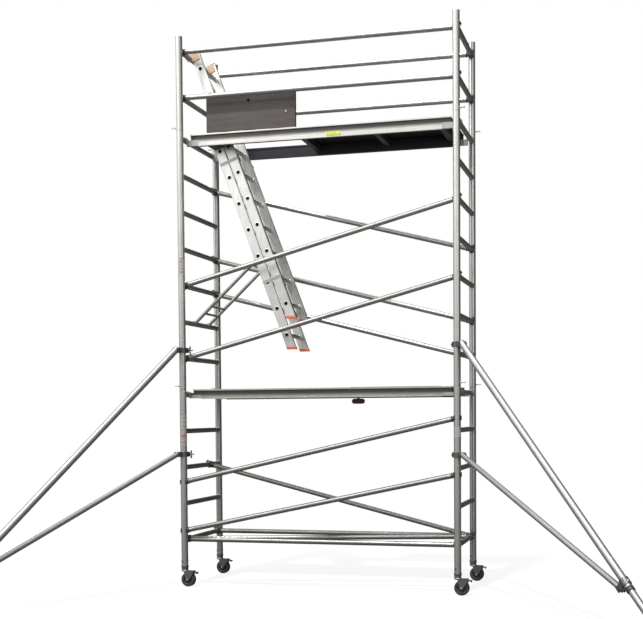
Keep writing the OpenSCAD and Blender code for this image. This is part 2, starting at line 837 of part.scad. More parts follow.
// Brackets riveted to the lower section that wrap the upper section's stiles
module ladder_guide() {
    out = guide_gap + guide_t;
    wrap_x = stile_depth / 2 + out;
    wall_y = stile_t / 2 + guide_gap;
    translate([-section_gap - stile_depth / 2, stile_t / 2 + slip, -guide_h / 2])
        cube([section_gap + stile_depth / 2 + wrap_x, guide_t, guide_h]);
    translate([wrap_x - guide_t, -stile_t / 2, -guide_h / 2])
        cube([guide_t, stile_t + slip + guide_t, guide_h]);
    translate([-section_gap + stile_depth / 2 + 0.5, wall_y - 6, -guide_h / 2])
        cube([4, 6, guide_h]);
}

module ladder_guides() {
    color("lightgray") at_ladder() for (s = [lower_top_s - 101, lower_low_s + guide_up])
        for (k = [0, 1]) mirror([0, k, 0])
            translate([0, (ladder_w - stile_t) / 2, s]) ladder_guide();
}

// Flat hooks on both faces of a stile, drawn round the rung in X and Z
module ladder_hook_outline() {
    difference() {
        union() {
            circle(r = rung_r + 9);
            translate([0, -40]) square([-hook_u + stile_depth / 2 - 12, 60]);
        }
        circle(r = rung_r + 0.3);
        translate([-rung_r - 0.3, -80]) square([2 * rung_r + 0.6, 80]);
        translate([-rung_r - 20, -80]) square([2 * rung_r, 66]);
    }
}

module ladder_hooks() {
    outer_y = ladder_w / 2 + slip + hook_plate_t;
    inner_y = ladder_w / 2 - stile_t - slip;
    color("burlywood") at_ladder() for (k = [0, 1]) mirror([0, k, 0]) for (y = [outer_y, inner_y])
        translate([hook_u, y, hook_s]) rotate([90, 0, 0])
            linear_extrude(height = hook_plate_t) ladder_hook_outline();
}

// The stay: a short two-tube frame from a rung of the left frame to a rung of the ladder
module stay_hook(r) {
    difference() {
        rotate([90, 0, 0]) cylinder(r = r + 6, h = 26, center = true);
        rotate([90, 0, 0]) cylinder(r = r + 0.2, h = 30, center = true);
        translate([0, 0, -50]) cube([2 * r + 0.4, 30, 100], center = true);
    }
}

module ladder_stay() {
    color("silver") translate([-half_l, ladder_y, stay_rung_z]) {
        for (s = [-1, 1]) translate([0, s * stay_y, 0]) {
            stay_hook(rung_r);
            translate([stay_dx, 0, stay_dz]) stay_hook(ladder_rung_d / 2);
            rotate([0, 90 - stay_rise, 0]) translate([0, 0, rung_r + 3])
                cylinder(r = stay_r, h = stay_l - rung_r - ladder_rung_d / 2 - 6);
        }
        rotate([0, 90 - stay_rise, 0]) for (z = [120, 200, stay_l - 90]) translate([0, 0, z])
            rotate([90, 0, 0]) cylinder(r = 9, h = 2 * stay_y, center = true);
    }
}

/* Outriggers: own frame has its origin on the floor below the post, X outwards */
module at_left_outrigger() {
    translate([-half_l, -half_w, 0]) rotate([0, 0, 180 + outrigger_left_heading]) children();
}

module at_right_outrigger() {
    translate([half_l, -half_w, 0]) rotate([0, 0, -outrigger_right_heading]) children();
}

// Moves to the upper pivot with Z pointing down the tube
module down_the_tube() {
    translate([clamp_reach, 0, outrigger_top_z]) rotate([0, 90 + outrigger_drop, 0]) children();
}

module outrigger_tube() {
    color("silver") down_the_tube() difference() {
        translate([0, 0, -12]) cylinder(r = outrigger_d / 2, h = outrigger_tube_l + 12);
        translate([0, 0, -13]) cylinder(r = outrigger_d / 2 - 3, h = outrigger_tube_l + 14);
        rotate([90, 0, 0]) cylinder(r = 6 + slip, h = 80, center = true);
    }
}

module outrigger_extension() {
    start = outrigger_tube_l - extension_in;
    end = outrigger_l - ball_r;
    color("gainsboro") down_the_tube() {
        translate([0, 0, start]) tube(extension_r, 2.5, end - start - 20);
        translate([0, 0, end - 40]) cylinder(r = extension_r - 2, h = 20);
        translate([0, 0, end - 25]) cylinder(r = 6.5, h = 25);
        translate([0, 0, outrigger_l]) sphere(r = ball_r);
    }
}

module outrigger_strut() {
    color("silver") translate([clamp_reach, 0, outrigger_strut_z])
        rotate([0, 90 + strut_drop, 0]) difference() {
            translate([0, 0, -16]) cylinder(r = strut_r, h = strut_l + 32);
            translate([0, 0, 30]) cylinder(r = strut_r - 2, h = strut_l - 60);
            for (z = [0, strut_l]) translate([0, 0, z]) rotate([90, 0, 0])
                cylinder(r = 6 + slip, h = 80, center = true);
        }
}

// Split ring round the post with two cheeks that take a tube of radius r at the pivot
module post_clamp(r) {
    cheek_t = 5;
    difference() {
        union() {
            cylinder(r = clamp_r, h = clamp_h, center = true);
            translate([post_r + 4, -r - cheek_t - 0.5, -clamp_h / 2])
                cube([clamp_reach - post_r + 6, 2 * (r + cheek_t + 0.5), clamp_h]);
            translate([-clamp_r - 18, -12, -clamp_h / 2]) cube([30, 24, clamp_h]);
        }
        cylinder(r = clamp_bore_r, h = clamp_h + 2, center = true);
        translate([post_r + 8, -r - 0.5, -clamp_h]) cube([100, 2 * r + 1, 2 * clamp_h]);
        translate([-clamp_r - 30, -2, -clamp_h]) cube([clamp_r, 4, 2 * clamp_h]);
        translate([-clamp_r - 8, 0, 0]) rotate([90, 0, 0]) cylinder(r = 5 + slip, h = 40, center = true);
        translate([clamp_reach, 0, 0]) rotate([90, 0, 0])
            cylinder(r = 6 + slip, h = 100, center = true);
    }
}

module pivot_bolt(r) {
    reach = r + 5.5;
    rotate([90, 0, 0]) {
        cylinder(r = 6, h = 2 * reach + 10, center = true);
        translate([0, 0, reach + 0.05]) cylinder(r = 10, h = 7, $fn = 6);
        translate([0, 0, -reach - 7.05]) cylinder(r = 10, h = 7, $fn = 6);
    }
}

// Clamp screw with a T handle that closes the split behind the post
module clamp_screw() {
    translate([-clamp_r - 8, 0, 0]) rotate([-90, 0, 0]) {
        translate([0, 0, -18]) cylinder(r = 5, h = 60);
        translate([0, 0, -20]) cylinder(r = 9, h = 7.9, $fn = 6);
        translate([0, 0, 12.1]) cylinder(r = 8, h = 22);
        translate([0, 0, 40]) rotate([0, 90, 0]) cylinder(r = 4, h = 56, center = true);
    }
}

module tube_coupler() {
    difference() {
        union() {
            cylinder(r = outrigger_d / 2 + 6, h = 50, center = true);
            translate([0, -strut_r - 5.5, -20]) cube([coupler_drop + 16, 2 * strut_r + 11, 40]);
        }
        cylinder(r = outrigger_d / 2 + slip, h = 60, center = true);
        translate([outrigger_d / 2 + 3, -strut_r - 0.5, -40]) cube([80, 2 * strut_r + 1, 80]);
        translate([coupler_drop, 0, 0]) rotate([90, 0, 0])
            cylinder(r = 6 + slip, h = 100, center = true);
    }
}

module outrigger_clamps() {
    color("dimgray") {
        translate([0, 0, outrigger_top_z]) {
            post_clamp(outrigger_d / 2);
            clamp_screw();
            translate([clamp_reach, 0, 0]) pivot_bolt(outrigger_d / 2);
        }
        translate([0, 0, outrigger_strut_z]) {
            post_clamp(strut_r);
            clamp_screw();
            translate([clamp_reach, 0, 0]) pivot_bolt(strut_r);
        }
        down_the_tube() translate([0, 0, coupler_at]) tube_coupler();
        translate([coupler_x, 0, coupler_z]) pivot_bolt(strut_r);
    }
}

module outrigger_foot() {
    color("#1c1c1c") translate([ball_x, 0, 0]) difference() {
        union() {
            cylinder(r = foot_r, h = 12);
            translate([0, 0, 11]) cylinder(r1 = 34, r2 = 22, h = ball_z - 11);
        }
        translate([0, 0, ball_z]) sphere(r = ball_r + slip);
    }
}

frame_base(-half_l);  // frame_base_left
frame_base(half_l);  // frame_base_right
frame_upper(-half_l);  // frame_upper_left
frame_upper(half_l);  // frame_upper_right
frame_guard(-half_l);  // frame_guard_left
frame_guard(half_l);  // frame_guard_right
frame_spigots();
spring_clips();
castor_stems();
castor_fork(0);  // castor_fork_front_left
castor_fork(1);  // castor_fork_front_right
castor_fork(2);  // castor_fork_rear_left
castor_fork(3);  // castor_fork_rear_right
castor_axle(0);  // castor_axle_front_left
castor_axle(1);  // castor_axle_front_right
castor_axle(2);  // castor_axle_rear_left
castor_axle(3);  // castor_axle_rear_right
castor_wheel(0);  // castor_wheel_front_left
castor_wheel(1);  // castor_wheel_front_right
castor_wheel(2);  // castor_wheel_rear_left
castor_wheel(3);  // castor_wheel_rear_right
castor_brake(0);  // castor_brake_front_left
castor_brake(1);  // castor_brake_front_right
castor_brake(2);  // castor_brake_rear_left
castor_brake(3);  // castor_brake_rear_right
front_diagonals();
rear_diagonals();
base_braces();
guard_rails();
snap_hooks();
hook_triggers();
post_clips();
platform_frames();
platform_claws();
deck_boards();
hatch_hinge_pins();
top_hatch_hinged_leaf();
top_hatch_folding_leaf();
top_hatch_fold_pin();
low_hatch_hinged_leaf();
low_hatch_folding_leaf();
low_hatch_fold_pin();
low_hatch_catch();
ladder_lower();
ladder_upper();
ladder_lower_feet();
ladder_upper_feet();
ladder_guides();
ladder_hooks();
ladder_stay();
at_left_outrigger() outrigger_tube();  // outrigger_left_tube
at_left_outrigger() outrigger_strut();  // outrigger_left_strut
at_left_outrigger() outrigger_clamps();  // outrigger_left_clamps
at_left_outrigger() outrigger_extension();  // outrigger_left_extension
at_left_outrigger() outrigger_foot();  // outrigger_left_foot
at_right_outrigger() outrigger_tube();  // outrigger_right_tube
at_right_outrigger() outrigger_strut();  // outrigger_right_strut
at_right_outrigger() outrigger_clamps();  // outrigger_right_clamps
at_right_outrigger() outrigger_extension();  // outrigger_right_extension
at_right_outrigger() outrigger_foot();  // outrigger_right_foot
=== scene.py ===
import json
import math

import bmesh
import bpy
import numpy as np
from mathutils import Matrix, Vector


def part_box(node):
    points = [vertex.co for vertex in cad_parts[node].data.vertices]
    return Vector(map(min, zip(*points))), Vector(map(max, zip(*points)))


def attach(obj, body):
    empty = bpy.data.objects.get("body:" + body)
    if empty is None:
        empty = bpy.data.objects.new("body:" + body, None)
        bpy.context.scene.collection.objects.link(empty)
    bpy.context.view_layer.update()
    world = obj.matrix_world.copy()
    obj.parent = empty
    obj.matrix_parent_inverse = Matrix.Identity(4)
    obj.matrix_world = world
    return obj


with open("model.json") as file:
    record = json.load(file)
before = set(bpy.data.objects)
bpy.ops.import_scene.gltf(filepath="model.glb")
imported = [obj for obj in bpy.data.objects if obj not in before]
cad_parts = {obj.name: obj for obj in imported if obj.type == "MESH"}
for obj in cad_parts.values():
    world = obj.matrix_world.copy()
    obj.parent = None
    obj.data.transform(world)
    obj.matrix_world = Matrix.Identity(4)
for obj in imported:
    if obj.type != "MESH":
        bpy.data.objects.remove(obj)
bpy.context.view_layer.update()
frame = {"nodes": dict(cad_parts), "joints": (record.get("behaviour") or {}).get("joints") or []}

# ---------------------------------------------------------------- layout, from the CAD frame
base_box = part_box("frame_base_left")
upper_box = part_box("frame_upper_left")
guard_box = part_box("frame_guard_left")
POST_R = (base_box[1][0] - base_box[0][0]) / 2
HALF_L = -(base_box[1][0] + base_box[0][0]) / 2
HALF_W = base_box[1][1] - POST_R
BASE_JOINT = upper_box[0][2]
GUARD_JOINT = guard_box[0][2]
POST_TOP = guard_box[1][2]
RUNG_R = 0.019
PITCH = 0.28
JOINT_OVER_RUNG = 0.045
DECK_OVER_RUNG = 0.043
RUNG_LOW = BASE_JOINT - JOINT_OVER_RUNG - 4 * PITCH
RUNGS = [RUNG_LOW + PITCH * k for k in range(12)]
GUARD_MID = RUNGS[11] + 0.315
GUARD_TOP = GUARD_MID + 0.348
TOP_DECK = RUNGS[11] + DECK_OVER_RUNG
LOW_DECK = RUNGS[4] + DECK_OVER_RUNG
BRACE_R = 0.019
BRACE_Y = HALF_W - 0.047
HOOK_STEP = 0.040
JOINTS = {j["name"]: j for j in frame["joints"]}


# ---------------------------------------------------------------- material helpers
class Mat:
    """A procedural material whose sockets are joined up by short calls."""

    def __init__(self, name, metallic=0.0, rough=0.5, spec=0.5):
        self.mat = bpy.data.materials.new(name)
        self.mat.use_nodes = True
        self.nodes = self.mat.node_tree.nodes
        self.links = self.mat.node_tree.links
        self.bsdf = self.nodes["Principled BSDF"]
        self.bsdf.inputs["Metallic"].default_value = metallic
        self.bsdf.inputs["Roughness"].default_value = rough
        self.bsdf.inputs["Specular IOR Level"].default_value = spec
        self.coord = self.nodes.new("ShaderNodeTexCoord").outputs["Object"]
        self.normal = None

    def put(self, socket, value):
        if isinstance(value, bpy.types.NodeSocket):
            self.links.new(value, socket)
        elif isinstance(value, (tuple, list)) and len(value) == 3 and socket.type == "RGBA":
            socket.default_value = (*value, 1)
        else:
            socket.default_value = value

    def set(self, name, value):
        self.put(self.bsdf.inputs[name], value)

    def scaled(self, stretch):
        node = self.nodes.new("ShaderNodeMapping")
        self.links.new(self.coord, node.inputs["Vector"])
        node.inputs["Scale"].default_value = stretch
        return node.outputs[0]

    def noise(self, scale, stretch=(1, 1, 1), detail=4, rough=0.55):
        node = self.nodes.new("ShaderNodeTexNoise")
        self.links.new(self.scaled(stretch), node.inputs["Vector"])
        node.inputs["Scale"].default_value = scale
        node.inputs["Detail"].default_value = detail
        node.inputs["Roughness"].default_value = rough
        return node.outputs["Fac"]

    def voronoi(self, scale, out="Distance"):
        node = self.nodes.new("ShaderNodeTexVoronoi")
        self.links.new(self.scaled((1, 1, 1)), node.inputs["Vector"])
        node.inputs["Scale"].default_value = scale
        return node.outputs[out]

    def ramp(self, fac, *stops):
        node = self.nodes.new("ShaderNodeValToRGB")
        self.put(node.inputs[0], fac)
        marks = node.color_ramp.elements
        while len(marks) < len(stops):
            marks.new(0.5)
        for mark, (at, colour) in zip(marks, stops):
            mark.position = at
            if not isinstance(colour, (tuple, list)):
                colour = (colour,) * 3
            mark.color = (*colour, 1)
        return node.outputs[0]

    def mix(self, fac, a, b, mode="MIX"):
        node = self.nodes.new("ShaderNodeMix")
        node.data_type = "RGBA"
        node.blend_type = mode
        self.put(node.inputs["Factor"], fac)
        self.put(node.inputs[6], a)
        self.put(node.inputs[7], b)
        return node.outputs[2]

    def math(self, op, a, b=0.0, c=0.0):
        node = self.nodes.new("ShaderNodeMath")
        node.operation = op
        for socket, value in zip(node.inputs, (a, b, c)):
            self.put(socket, value)
        return node.outputs[0]

    def xyz(self, vector=None):
        node = self.nodes.new("ShaderNodeSeparateXYZ")
        self.links.new(vector or self.coord, node.inputs[0])
        return node.outputs

    def drawn_out(self, direction, keep=0.03):
        """The coordinate squeezed along a direction, so that a pattern streaks that way."""
        dot = self.nodes.new("ShaderNodeVectorMath")
        dot.operation = "DOT_PRODUCT"
        self.links.new(self.coord, dot.inputs[0])
        dot.inputs[1].default_value = direction
        shift = self.nodes.new("ShaderNodeVectorMath")
        shift.operation = "SCALE"
        shift.inputs[0].default_value = direction
        self.links.new(self.math("MULTIPLY", dot.outputs["Value"], keep - 1), shift.inputs["Scale"])
        total = self.nodes.new("ShaderNodeVectorMath")
        total.operation = "ADD"
        self.links.new(self.coord, total.inputs[0])
        self.links.new(shift.outputs[0], total.inputs[1])
        self.coord = total.outputs[0]

    def bump(self, height, strength=0.3, distance=0.001):
        node = self.nodes.new("ShaderNodeBump")
        self.put(node.inputs["Height"], height)
        node.inputs["Strength"].default_value = strength
        node.inputs["Distance"].default_value = distance
        if self.normal:
            self.links.new(self.normal, node.inputs["Normal"])
        self.normal = node.outputs[0]
        self.links.new(self.normal, self.bsdf.inputs["Normal"])

    def edges(self, radius=0.003, low=0.05, high=0.4):
        """Near 1 on sharp edges, from the difference between the true and the rounded normal."""
        bevel = self.nodes.new("ShaderNodeBevel")
        bevel.inputs["Radius"].default_value = radius
        geo = self.nodes.new("ShaderNodeNewGeometry")
        dot = self.nodes.new("ShaderNodeVectorMath")
        dot.operation = "DOT_PRODUCT"
        self.links.new(bevel.outputs[0], dot.inputs[0])
        self.links.new(geo.outputs["Normal"], dot.inputs[1])
        off = self.math("SUBTRACT", 1.0, dot.outputs["Value"])
        return self.ramp(off, (low * 0.2, 0.0), (high * 0.2, 1.0))


def metal(name, colour, rough=0.34, along=(1, 1, 1), grime=0.5, drawn=None):
    """Mill-finish tube: die lines along its length, cloudy oxide, handling marks and grime, and painted
    shade that darkens it towards the bottom.
    """
    m = Mat(name, metallic=0.92)
    place = m.coord
    if drawn:
        m.drawn_out(drawn)
    lines = m.noise(90, along, detail=3)
    m.coord = place
    clouds = m.noise(5, detail=6, rough=0.7)
    fine = m.noise(260, detail=2)
    dark = tuple(c * 0.62 for c in colour)
    body = m.mix(m.ramp(lines, (0.30, 0.0), (0.72, 1.0)), tuple(c * 0.86 for c in colour), colour)
    body = m.mix(m.ramp(clouds, (0.42, 0.0), (0.74, 0.55)), body, dark)
    spots = m.ramp(m.noise(34, detail=5, rough=0.75), (0.62, 0.0), (0.74, grime))
    body = m.mix(spots, body, (0.16, 0.155, 0.145))
    # Painted light: the tube is darkened towards the bottom and left brightest up high, as sunlight above
    # and shade below.
    up = m.math("DIVIDE", m.xyz()[2], POST_TOP)
    body = m.mix(1.0, body, m.ramp(up, (0.0, 0.62), (0.42, 0.78), (0.72, 1.0)), "MULTIPLY")
    m.set("Base Color", body)
    wear = m.math("MULTIPLY_ADD", clouds, 0.30, rough - 0.13)
    m.set("Roughness", m.math("ADD", wear, m.math("MULTIPLY", spots, 0.25)))
    m.bump(lines, 0.06, 0.0004)
    m.bump(fine, 0.03, 0.0002)
    return m


def rail_metal_for(name, web_y, tops):
    """Rail metal: bare extrusion outside, a band below the lip painted dark as the lip's shadow with some
    dirt, and painted shade on the insides, undersides and crossbars.
    """
    m = metal(name, (0.80, 0.79, 0.74), 0.38, (0.02, 1.0, 1.0), grime=0.4)
    old = m.bsdf.inputs["Base Color"].links[0].from_socket
    _, y, z = m.xyz()
    flat = m.math("ABSOLUTE", y)
    cloud = m.noise(9, (0.35, 1, 1), detail=6, rough=0.75)
    # Painted shadow with some dirt: a dark band on the web below each deck's lip, where the lip's shadow
    # falls.
    band = 0.0
    for top in tops:
        below = m.math("SUBTRACT", top, z)
        fade = m.ramp(m.math("DIVIDE", below, 0.1), (0.08, 0.0), (0.12, 1.0), (0.40, 1.0), (0.66, 0.0))
        band = m.math("MAXIMUM", band, m.math("MULTIPLY", fade, m.math("GREATER_THAN", below, 0.0)))
    band = m.math("MULTIPLY", band, m.math("GREATER_THAN", flat, web_y))
    lip_shadow_and_dirt = m.mix(cloud, (0.022, 0.020, 0.018), (0.070, 0.064, 0.056))
    body = m.mix(m.math("MULTIPLY", band, 0.94), old, lip_shadow_and_dirt)
    # Painted shade: every face not turned outward to the side, undersides and crossbars among them, is
    # coloured near-black navy and made non-metallic.
    facing = m.xyz(m.nodes.new("ShaderNodeNewGeometry").outputs["Normal"])
    inner = m.math("LESS_THAN", m.math("MULTIPLY", facing[1], y), 0.02)
    outer = m.math("MULTIPLY", m.math("GREATER_THAN", facing[2], -0.5), m.math("SUBTRACT", 1.0, inner))
    body = m.mix(outer, (0.040, 0.041, 0.050), body)
    m.set("Base Color", body)
    m.set("Metallic", m.math("MULTIPLY", outer, m.math("SUBTRACT", 0.9, m.math("MULTIPLY", band, 0.7))))
    return m


def along_axis(axis):
    return tuple(0.02 if i == axis else 1.0 for i in range(3))


def frame_metal(name, first_rung, pitch):
    """End-frame tube: upright posts, and rungs with fluted grip lines; the rungs and their grooves are
    painted darker as shade, and the whole tube darker towards the bottom as painted shade.
    """
    m = Mat(name, metallic=0.92)
    x, y, z = m.xyz()
    flat = m.math("ABSOLUTE", y)
    rung = m.math("LESS_THAN", flat, HALF_W - POST_R + 0.0005)
    post_lines = m.noise(90, along_axis(2), detail=3)
    rung_lines = m.noise(90, along_axis(1), detail=3)
    lines = m.mix(rung, post_lines, rung_lines)
    clouds = m.noise(5, detail=6, rough=0.7)
    bright, tint = (0.84, 0.835, 0.80), (0.70, 0.70, 0.68)
    body = m.mix(m.ramp(lines, (0.30, 0.0), (0.72, 1.0)), tint, bright)
    body = m.mix(m.ramp(clouds, (0.42, 0.0), (0.74, 0.5)), body, (0.50, 0.50, 0.48))
    # Painted light: the frame is darkened towards the bottom and left brightest up high, as sunlight above
    # and shade below.
    up = m.math("DIVIDE", z, POST_TOP)
    body = m.mix(1.0, body, m.ramp(up, (0.0, 0.60), (0.42, 0.76), (0.72, 1.0)), "MULTIPLY")
    across = m.math("SUBTRACT", m.math("ABSOLUTE", x), HALF_L)
    cell = m.math("WRAP", m.math("SUBTRACT", z, first_rung), pitch / 2, -pitch / 2)
    turn = m.math("ARCTAN2", cell, across)
    flutes = m.math("SINE", m.math("MULTIPLY", turn, 28.0))
    groove = m.ramp(m.math("MULTIPLY_ADD", flutes, 0.5, 0.5), (0.15, 1.0), (0.55, 0.0))
    groove = m.math("MULTIPLY", groove, rung)
    # Painted shade: the rungs are darkened against the posts, and darker still in the flute grooves.
    body = m.mix(m.math("MULTIPLY", rung, 0.45), body, (0.20, 0.20, 0.19))
    body = m.mix(m.math("MULTIPLY", groove, 0.5), body, (0.07, 0.07, 0.065))
    near_joint = m.math("SUBTRACT", flat, HALF_W - POST_R - 0.012)
    burnt = m.math("MULTIPLY", m.ramp(near_joint, (0.0, 0.0), (0.012, 0.6)), rung)
    body = m.mix(burnt, body, (0.22, 0.21, 0.19))
    spots = m.ramp(m.noise(34, detail=5, rough=0.75), (0.60, 0.0), (0.74, 0.6))
    scuffs = m.ramp(m.noise(60, (1, 1, 0.25), detail=5, rough=0.8), (0.66, 0.0), (0.72, 0.7))
    body = m.mix(spots, body, (0.17, 0.165, 0.15))
    body = m.mix(scuffs, body, (0.30, 0.29, 0.27))
    m.set("Base Color", body)
    rough = m.math("MULTIPLY_ADD", clouds, 0.30, 0.20)
    m.set("Roughness", m.math("ADD", rough, m.math("MULTIPLY", m.math("ADD", spots, rung), 0.14)))
    m.bump(lines, 0.06, 0.0004)
    m.bump(m.math("MULTIPLY", flutes, rung), 0.30, 0.0005)
    return m


def moulded(name, colour, rough=0.42, scuff=(0.35, 0.35, 0.35), grain=420):
    """Moulded plastic: fine texture, dusty clouds and edges rubbed pale."""
    m = Mat(name, rough=rough, spec=0.45)
    clouds = m.noise(22, detail=6, rough=0.7)
    pale = tuple(min(1.0, c * 1.35 + 0.03) for c in colour)
    body = m.mix(m.ramp(clouds, (0.35, 0.0), (0.75, 1.0)), colour, pale)
    body = m.mix(m.math("MULTIPLY", m.edges(0.0025), 0.5), body, scuff)
    marks = m.ramp(m.noise(90, (1, 1, 0.2), detail=4, rough=0.8), (0.62, 0.0), (0.70, 0.5))
    body = m.mix(marks, body, scuff)
    m.set("Base Color", body)
    m.set("Roughness", m.math("MULTIPLY_ADD", clouds, 0.35, rough - 0.15))
    m.bump(m.noise(grain, detail=2), 0.18, 0.0003)
    return m


def plated(name, colour, rough=0.38):
    """Zinc-plated steel: spangle, dull patches, and rust starting on the edges."""
    m = Mat(name, metallic=0.9)
    spangle = m.voronoi(220, out="Color")
    grey = m.nodes.new("ShaderNodeRGBToBW")
    m.links.new(spangle, grey.inputs[0])
    clouds = m.noise(30, detail=6, rough=0.7)
    body = m.mix(grey.outputs[0], tuple(c * 0.78 for c in colour), colour)
    body = m.mix(m.ramp(clouds, (0.45, 0.0), (0.75, 0.7)), body, tuple(c * 0.5 for c in colour))
    rust = m.math("MULTIPLY", m.ramp(m.noise(70, detail=6, rough=0.8), (0.55, 0.0), (0.68, 1.0)),
                  m.math("ADD", m.math("MULTIPLY", m.edges(0.002), 0.7), 0.15))
    body = m.mix(rust, body, (0.16, 0.075, 0.035))
    m.set("Base Color", body)
    m.set("Metallic", m.math("SUBTRACT", 0.9, rust))
    m.set("Roughness", m.math("MULTIPLY_ADD", clouds, 0.35, rough - 0.15))
    m.bump(m.noise(300, detail=3), 0.15, 0.0003)
    return m


def cast(name, colour):
    """Sand-cast aluminium: pebbled skin with polished high edges."""
    m = Mat(name, metallic=0.8)
    clouds = m.noise(26, detail=6, rough=0.7)
    body = m.mix(clouds, tuple(c * 0.55 for c in colour), colour)
    body = m.mix(m.math("MULTIPLY", m.edges(0.002), 0.8), body, (0.80, 0.80, 0.78))
    m.set("Base Color", body)
    m.set("Roughness", m.math("MULTIPLY_ADD", clouds, 0.3, 0.36))
    m.bump(m.noise(240, detail=4, rough=0.7), 0.45, 0.0008)
    return m


def ply(name, shade=1.0, under=1.0):
    """Film-faced plywood: brown-grey film with a wire-mesh grip; shade dims it, and under dims its
    underside as painted shade.
    """
    m = Mat(name, rough=0.55, spec=0.30)
    x, y, z = m.xyz()
    grain = m.noise(14, (0.25, 3.0, 3.0), detail=7, rough=0.7)
    cloud = m.noise(3.2, detail=6, rough=0.65)
    body = m.ramp(grain, (0.25, (0.118, 0.100, 0.092)), (0.55, (0.158, 0.137, 0.126)),
                  (0.80, (0.205, 0.182, 0.168)))
    body = m.mix(m.ramp(cloud, (0.42, 0.0), (0.72, 0.55)), body, (0.235, 0.213, 0.200))
    wires_x = m.math("SINE", m.math("MULTIPLY", x, 1250.0))
    wires_y = m.math("SINE", m.math("MULTIPLY", m.math("ADD", y, z), 1250.0))
    wires = m.math("MAXIMUM", wires_x, wires_y)
    scuffs = m.ramp(m.noise(26, (1.0, 2.2, 2.2), detail=6, rough=0.8), (0.60, 0.0), (0.74, 0.75))
    body = m.mix(scuffs, body, (0.30, 0.285, 0.27))
    nicks = m.ramp(m.voronoi(34), (0.0, 0.6), (0.035, 0.0))
    body = m.mix(nicks, body, (0.42, 0.34, 0.25))
    body = m.mix(m.math("MULTIPLY", m.edges(0.002), 0.55), body, (0.34, 0.27, 0.20))
    # Painted shade: downward faces are dimmed by under, to near black on the deck boards.
    down = m.math("LESS_THAN", m.xyz(m.nodes.new("ShaderNodeNewGeometry").outputs["Normal"])[2], -0.7)
    level = m.mix(down, (shade,) * 3, (under,) * 3)
    m.set("Base Color", m.mix(1.0, body, level, "MULTIPLY"))
    m.set("Roughness", m.math("MULTIPLY_ADD", cloud, 0.35, 0.36))
    m.bump(wires, 0.28, 0.0006)
    m.bump(grain, 0.12, 0.0004)
    return m


def tyre(name, centre, wheel_r):
    """One solid wheel: ribbed black tread outside, dark moulded core inside, by radius."""
    m = Mat(name, rough=0.6, spec=0.4)
    x, y, z = m.xyz()
    dx = m.math("SUBTRACT", x, centre[0])
    dz = m.math("SUBTRACT", z, centre[2])
    radius = m.math("SQRT", m.math("ADD", m.math("MULTIPLY", dx, dx), m.math("MULTIPLY", dz, dz)))
    hub = m.math("LESS_THAN", radius, wheel_r * 0.63)
    turn = m.math("ARCTAN2", dz, dx)
    dust = m.noise(60, detail=6, rough=0.75)
    rubber = m.mix(m.ramp(dust, (0.42, 0.0), (0.72, 1.0)), (0.012, 0.012, 0.013), (0.055, 0.052, 0.048))
    tread = m.math("GREATER_THAN", radius, wheel_r * 0.975)
    rubber = m.mix(m.math("MULTIPLY", tread, 0.6), rubber, (0.11, 0.105, 0.095))
    core = m.mix(dust, (0.030, 0.031, 0.032), (0.085, 0.085, 0.082))
    m.set("Base Color", m.mix(hub, rubber, core))
    m.set("Roughness", m.math("MULTIPLY_ADD", dust, 0.4, 0.38))
    ribs = m.math("SINE", m.math("MULTIPLY", turn, 72.0))
    m.bump(m.math("MULTIPLY", ribs, tread), 0.5, 0.0012)
    m.bump(m.noise(320, detail=3), 0.25, 0.0004)
    return m


def bonded(name, colour, ink, bands, axis=2, span=0.1, origin=0.0):
    """A worn sticker: plain colour with plain printed bars, scratched and yellowed."""
    m = Mat(name, rough=0.4, spec=0.5)
    at = m.math("DIVIDE", m.math("SUBTRACT", m.xyz()[axis], origin), span)
    stripe = m.math("GREATER_THAN", m.math("FRACT", m.math("MULTIPLY", at, bands)), 0.62)
    cells = m.noise(55, (1, 1, 0.3), detail=2)
    printed = m.math("MULTIPLY", stripe, m.ramp(cells, (0.40, 0.0), (0.44, 1.0)))
    body = m.mix(printed, colour, ink)
    body = m.mix(m.ramp(m.noise(70, detail=6, rough=0.8), (0.56, 0.0), (0.66, 0.8)), body,
                 (0.60, 0.58, 0.53))
    m.set("Base Color", body)
    m.set("Roughness", m.math("MULTIPLY_ADD", m.noise(40), 0.4, 0.25))
    m.bump(m.noise(160, detail=4), 0.15, 0.0002)
    return m


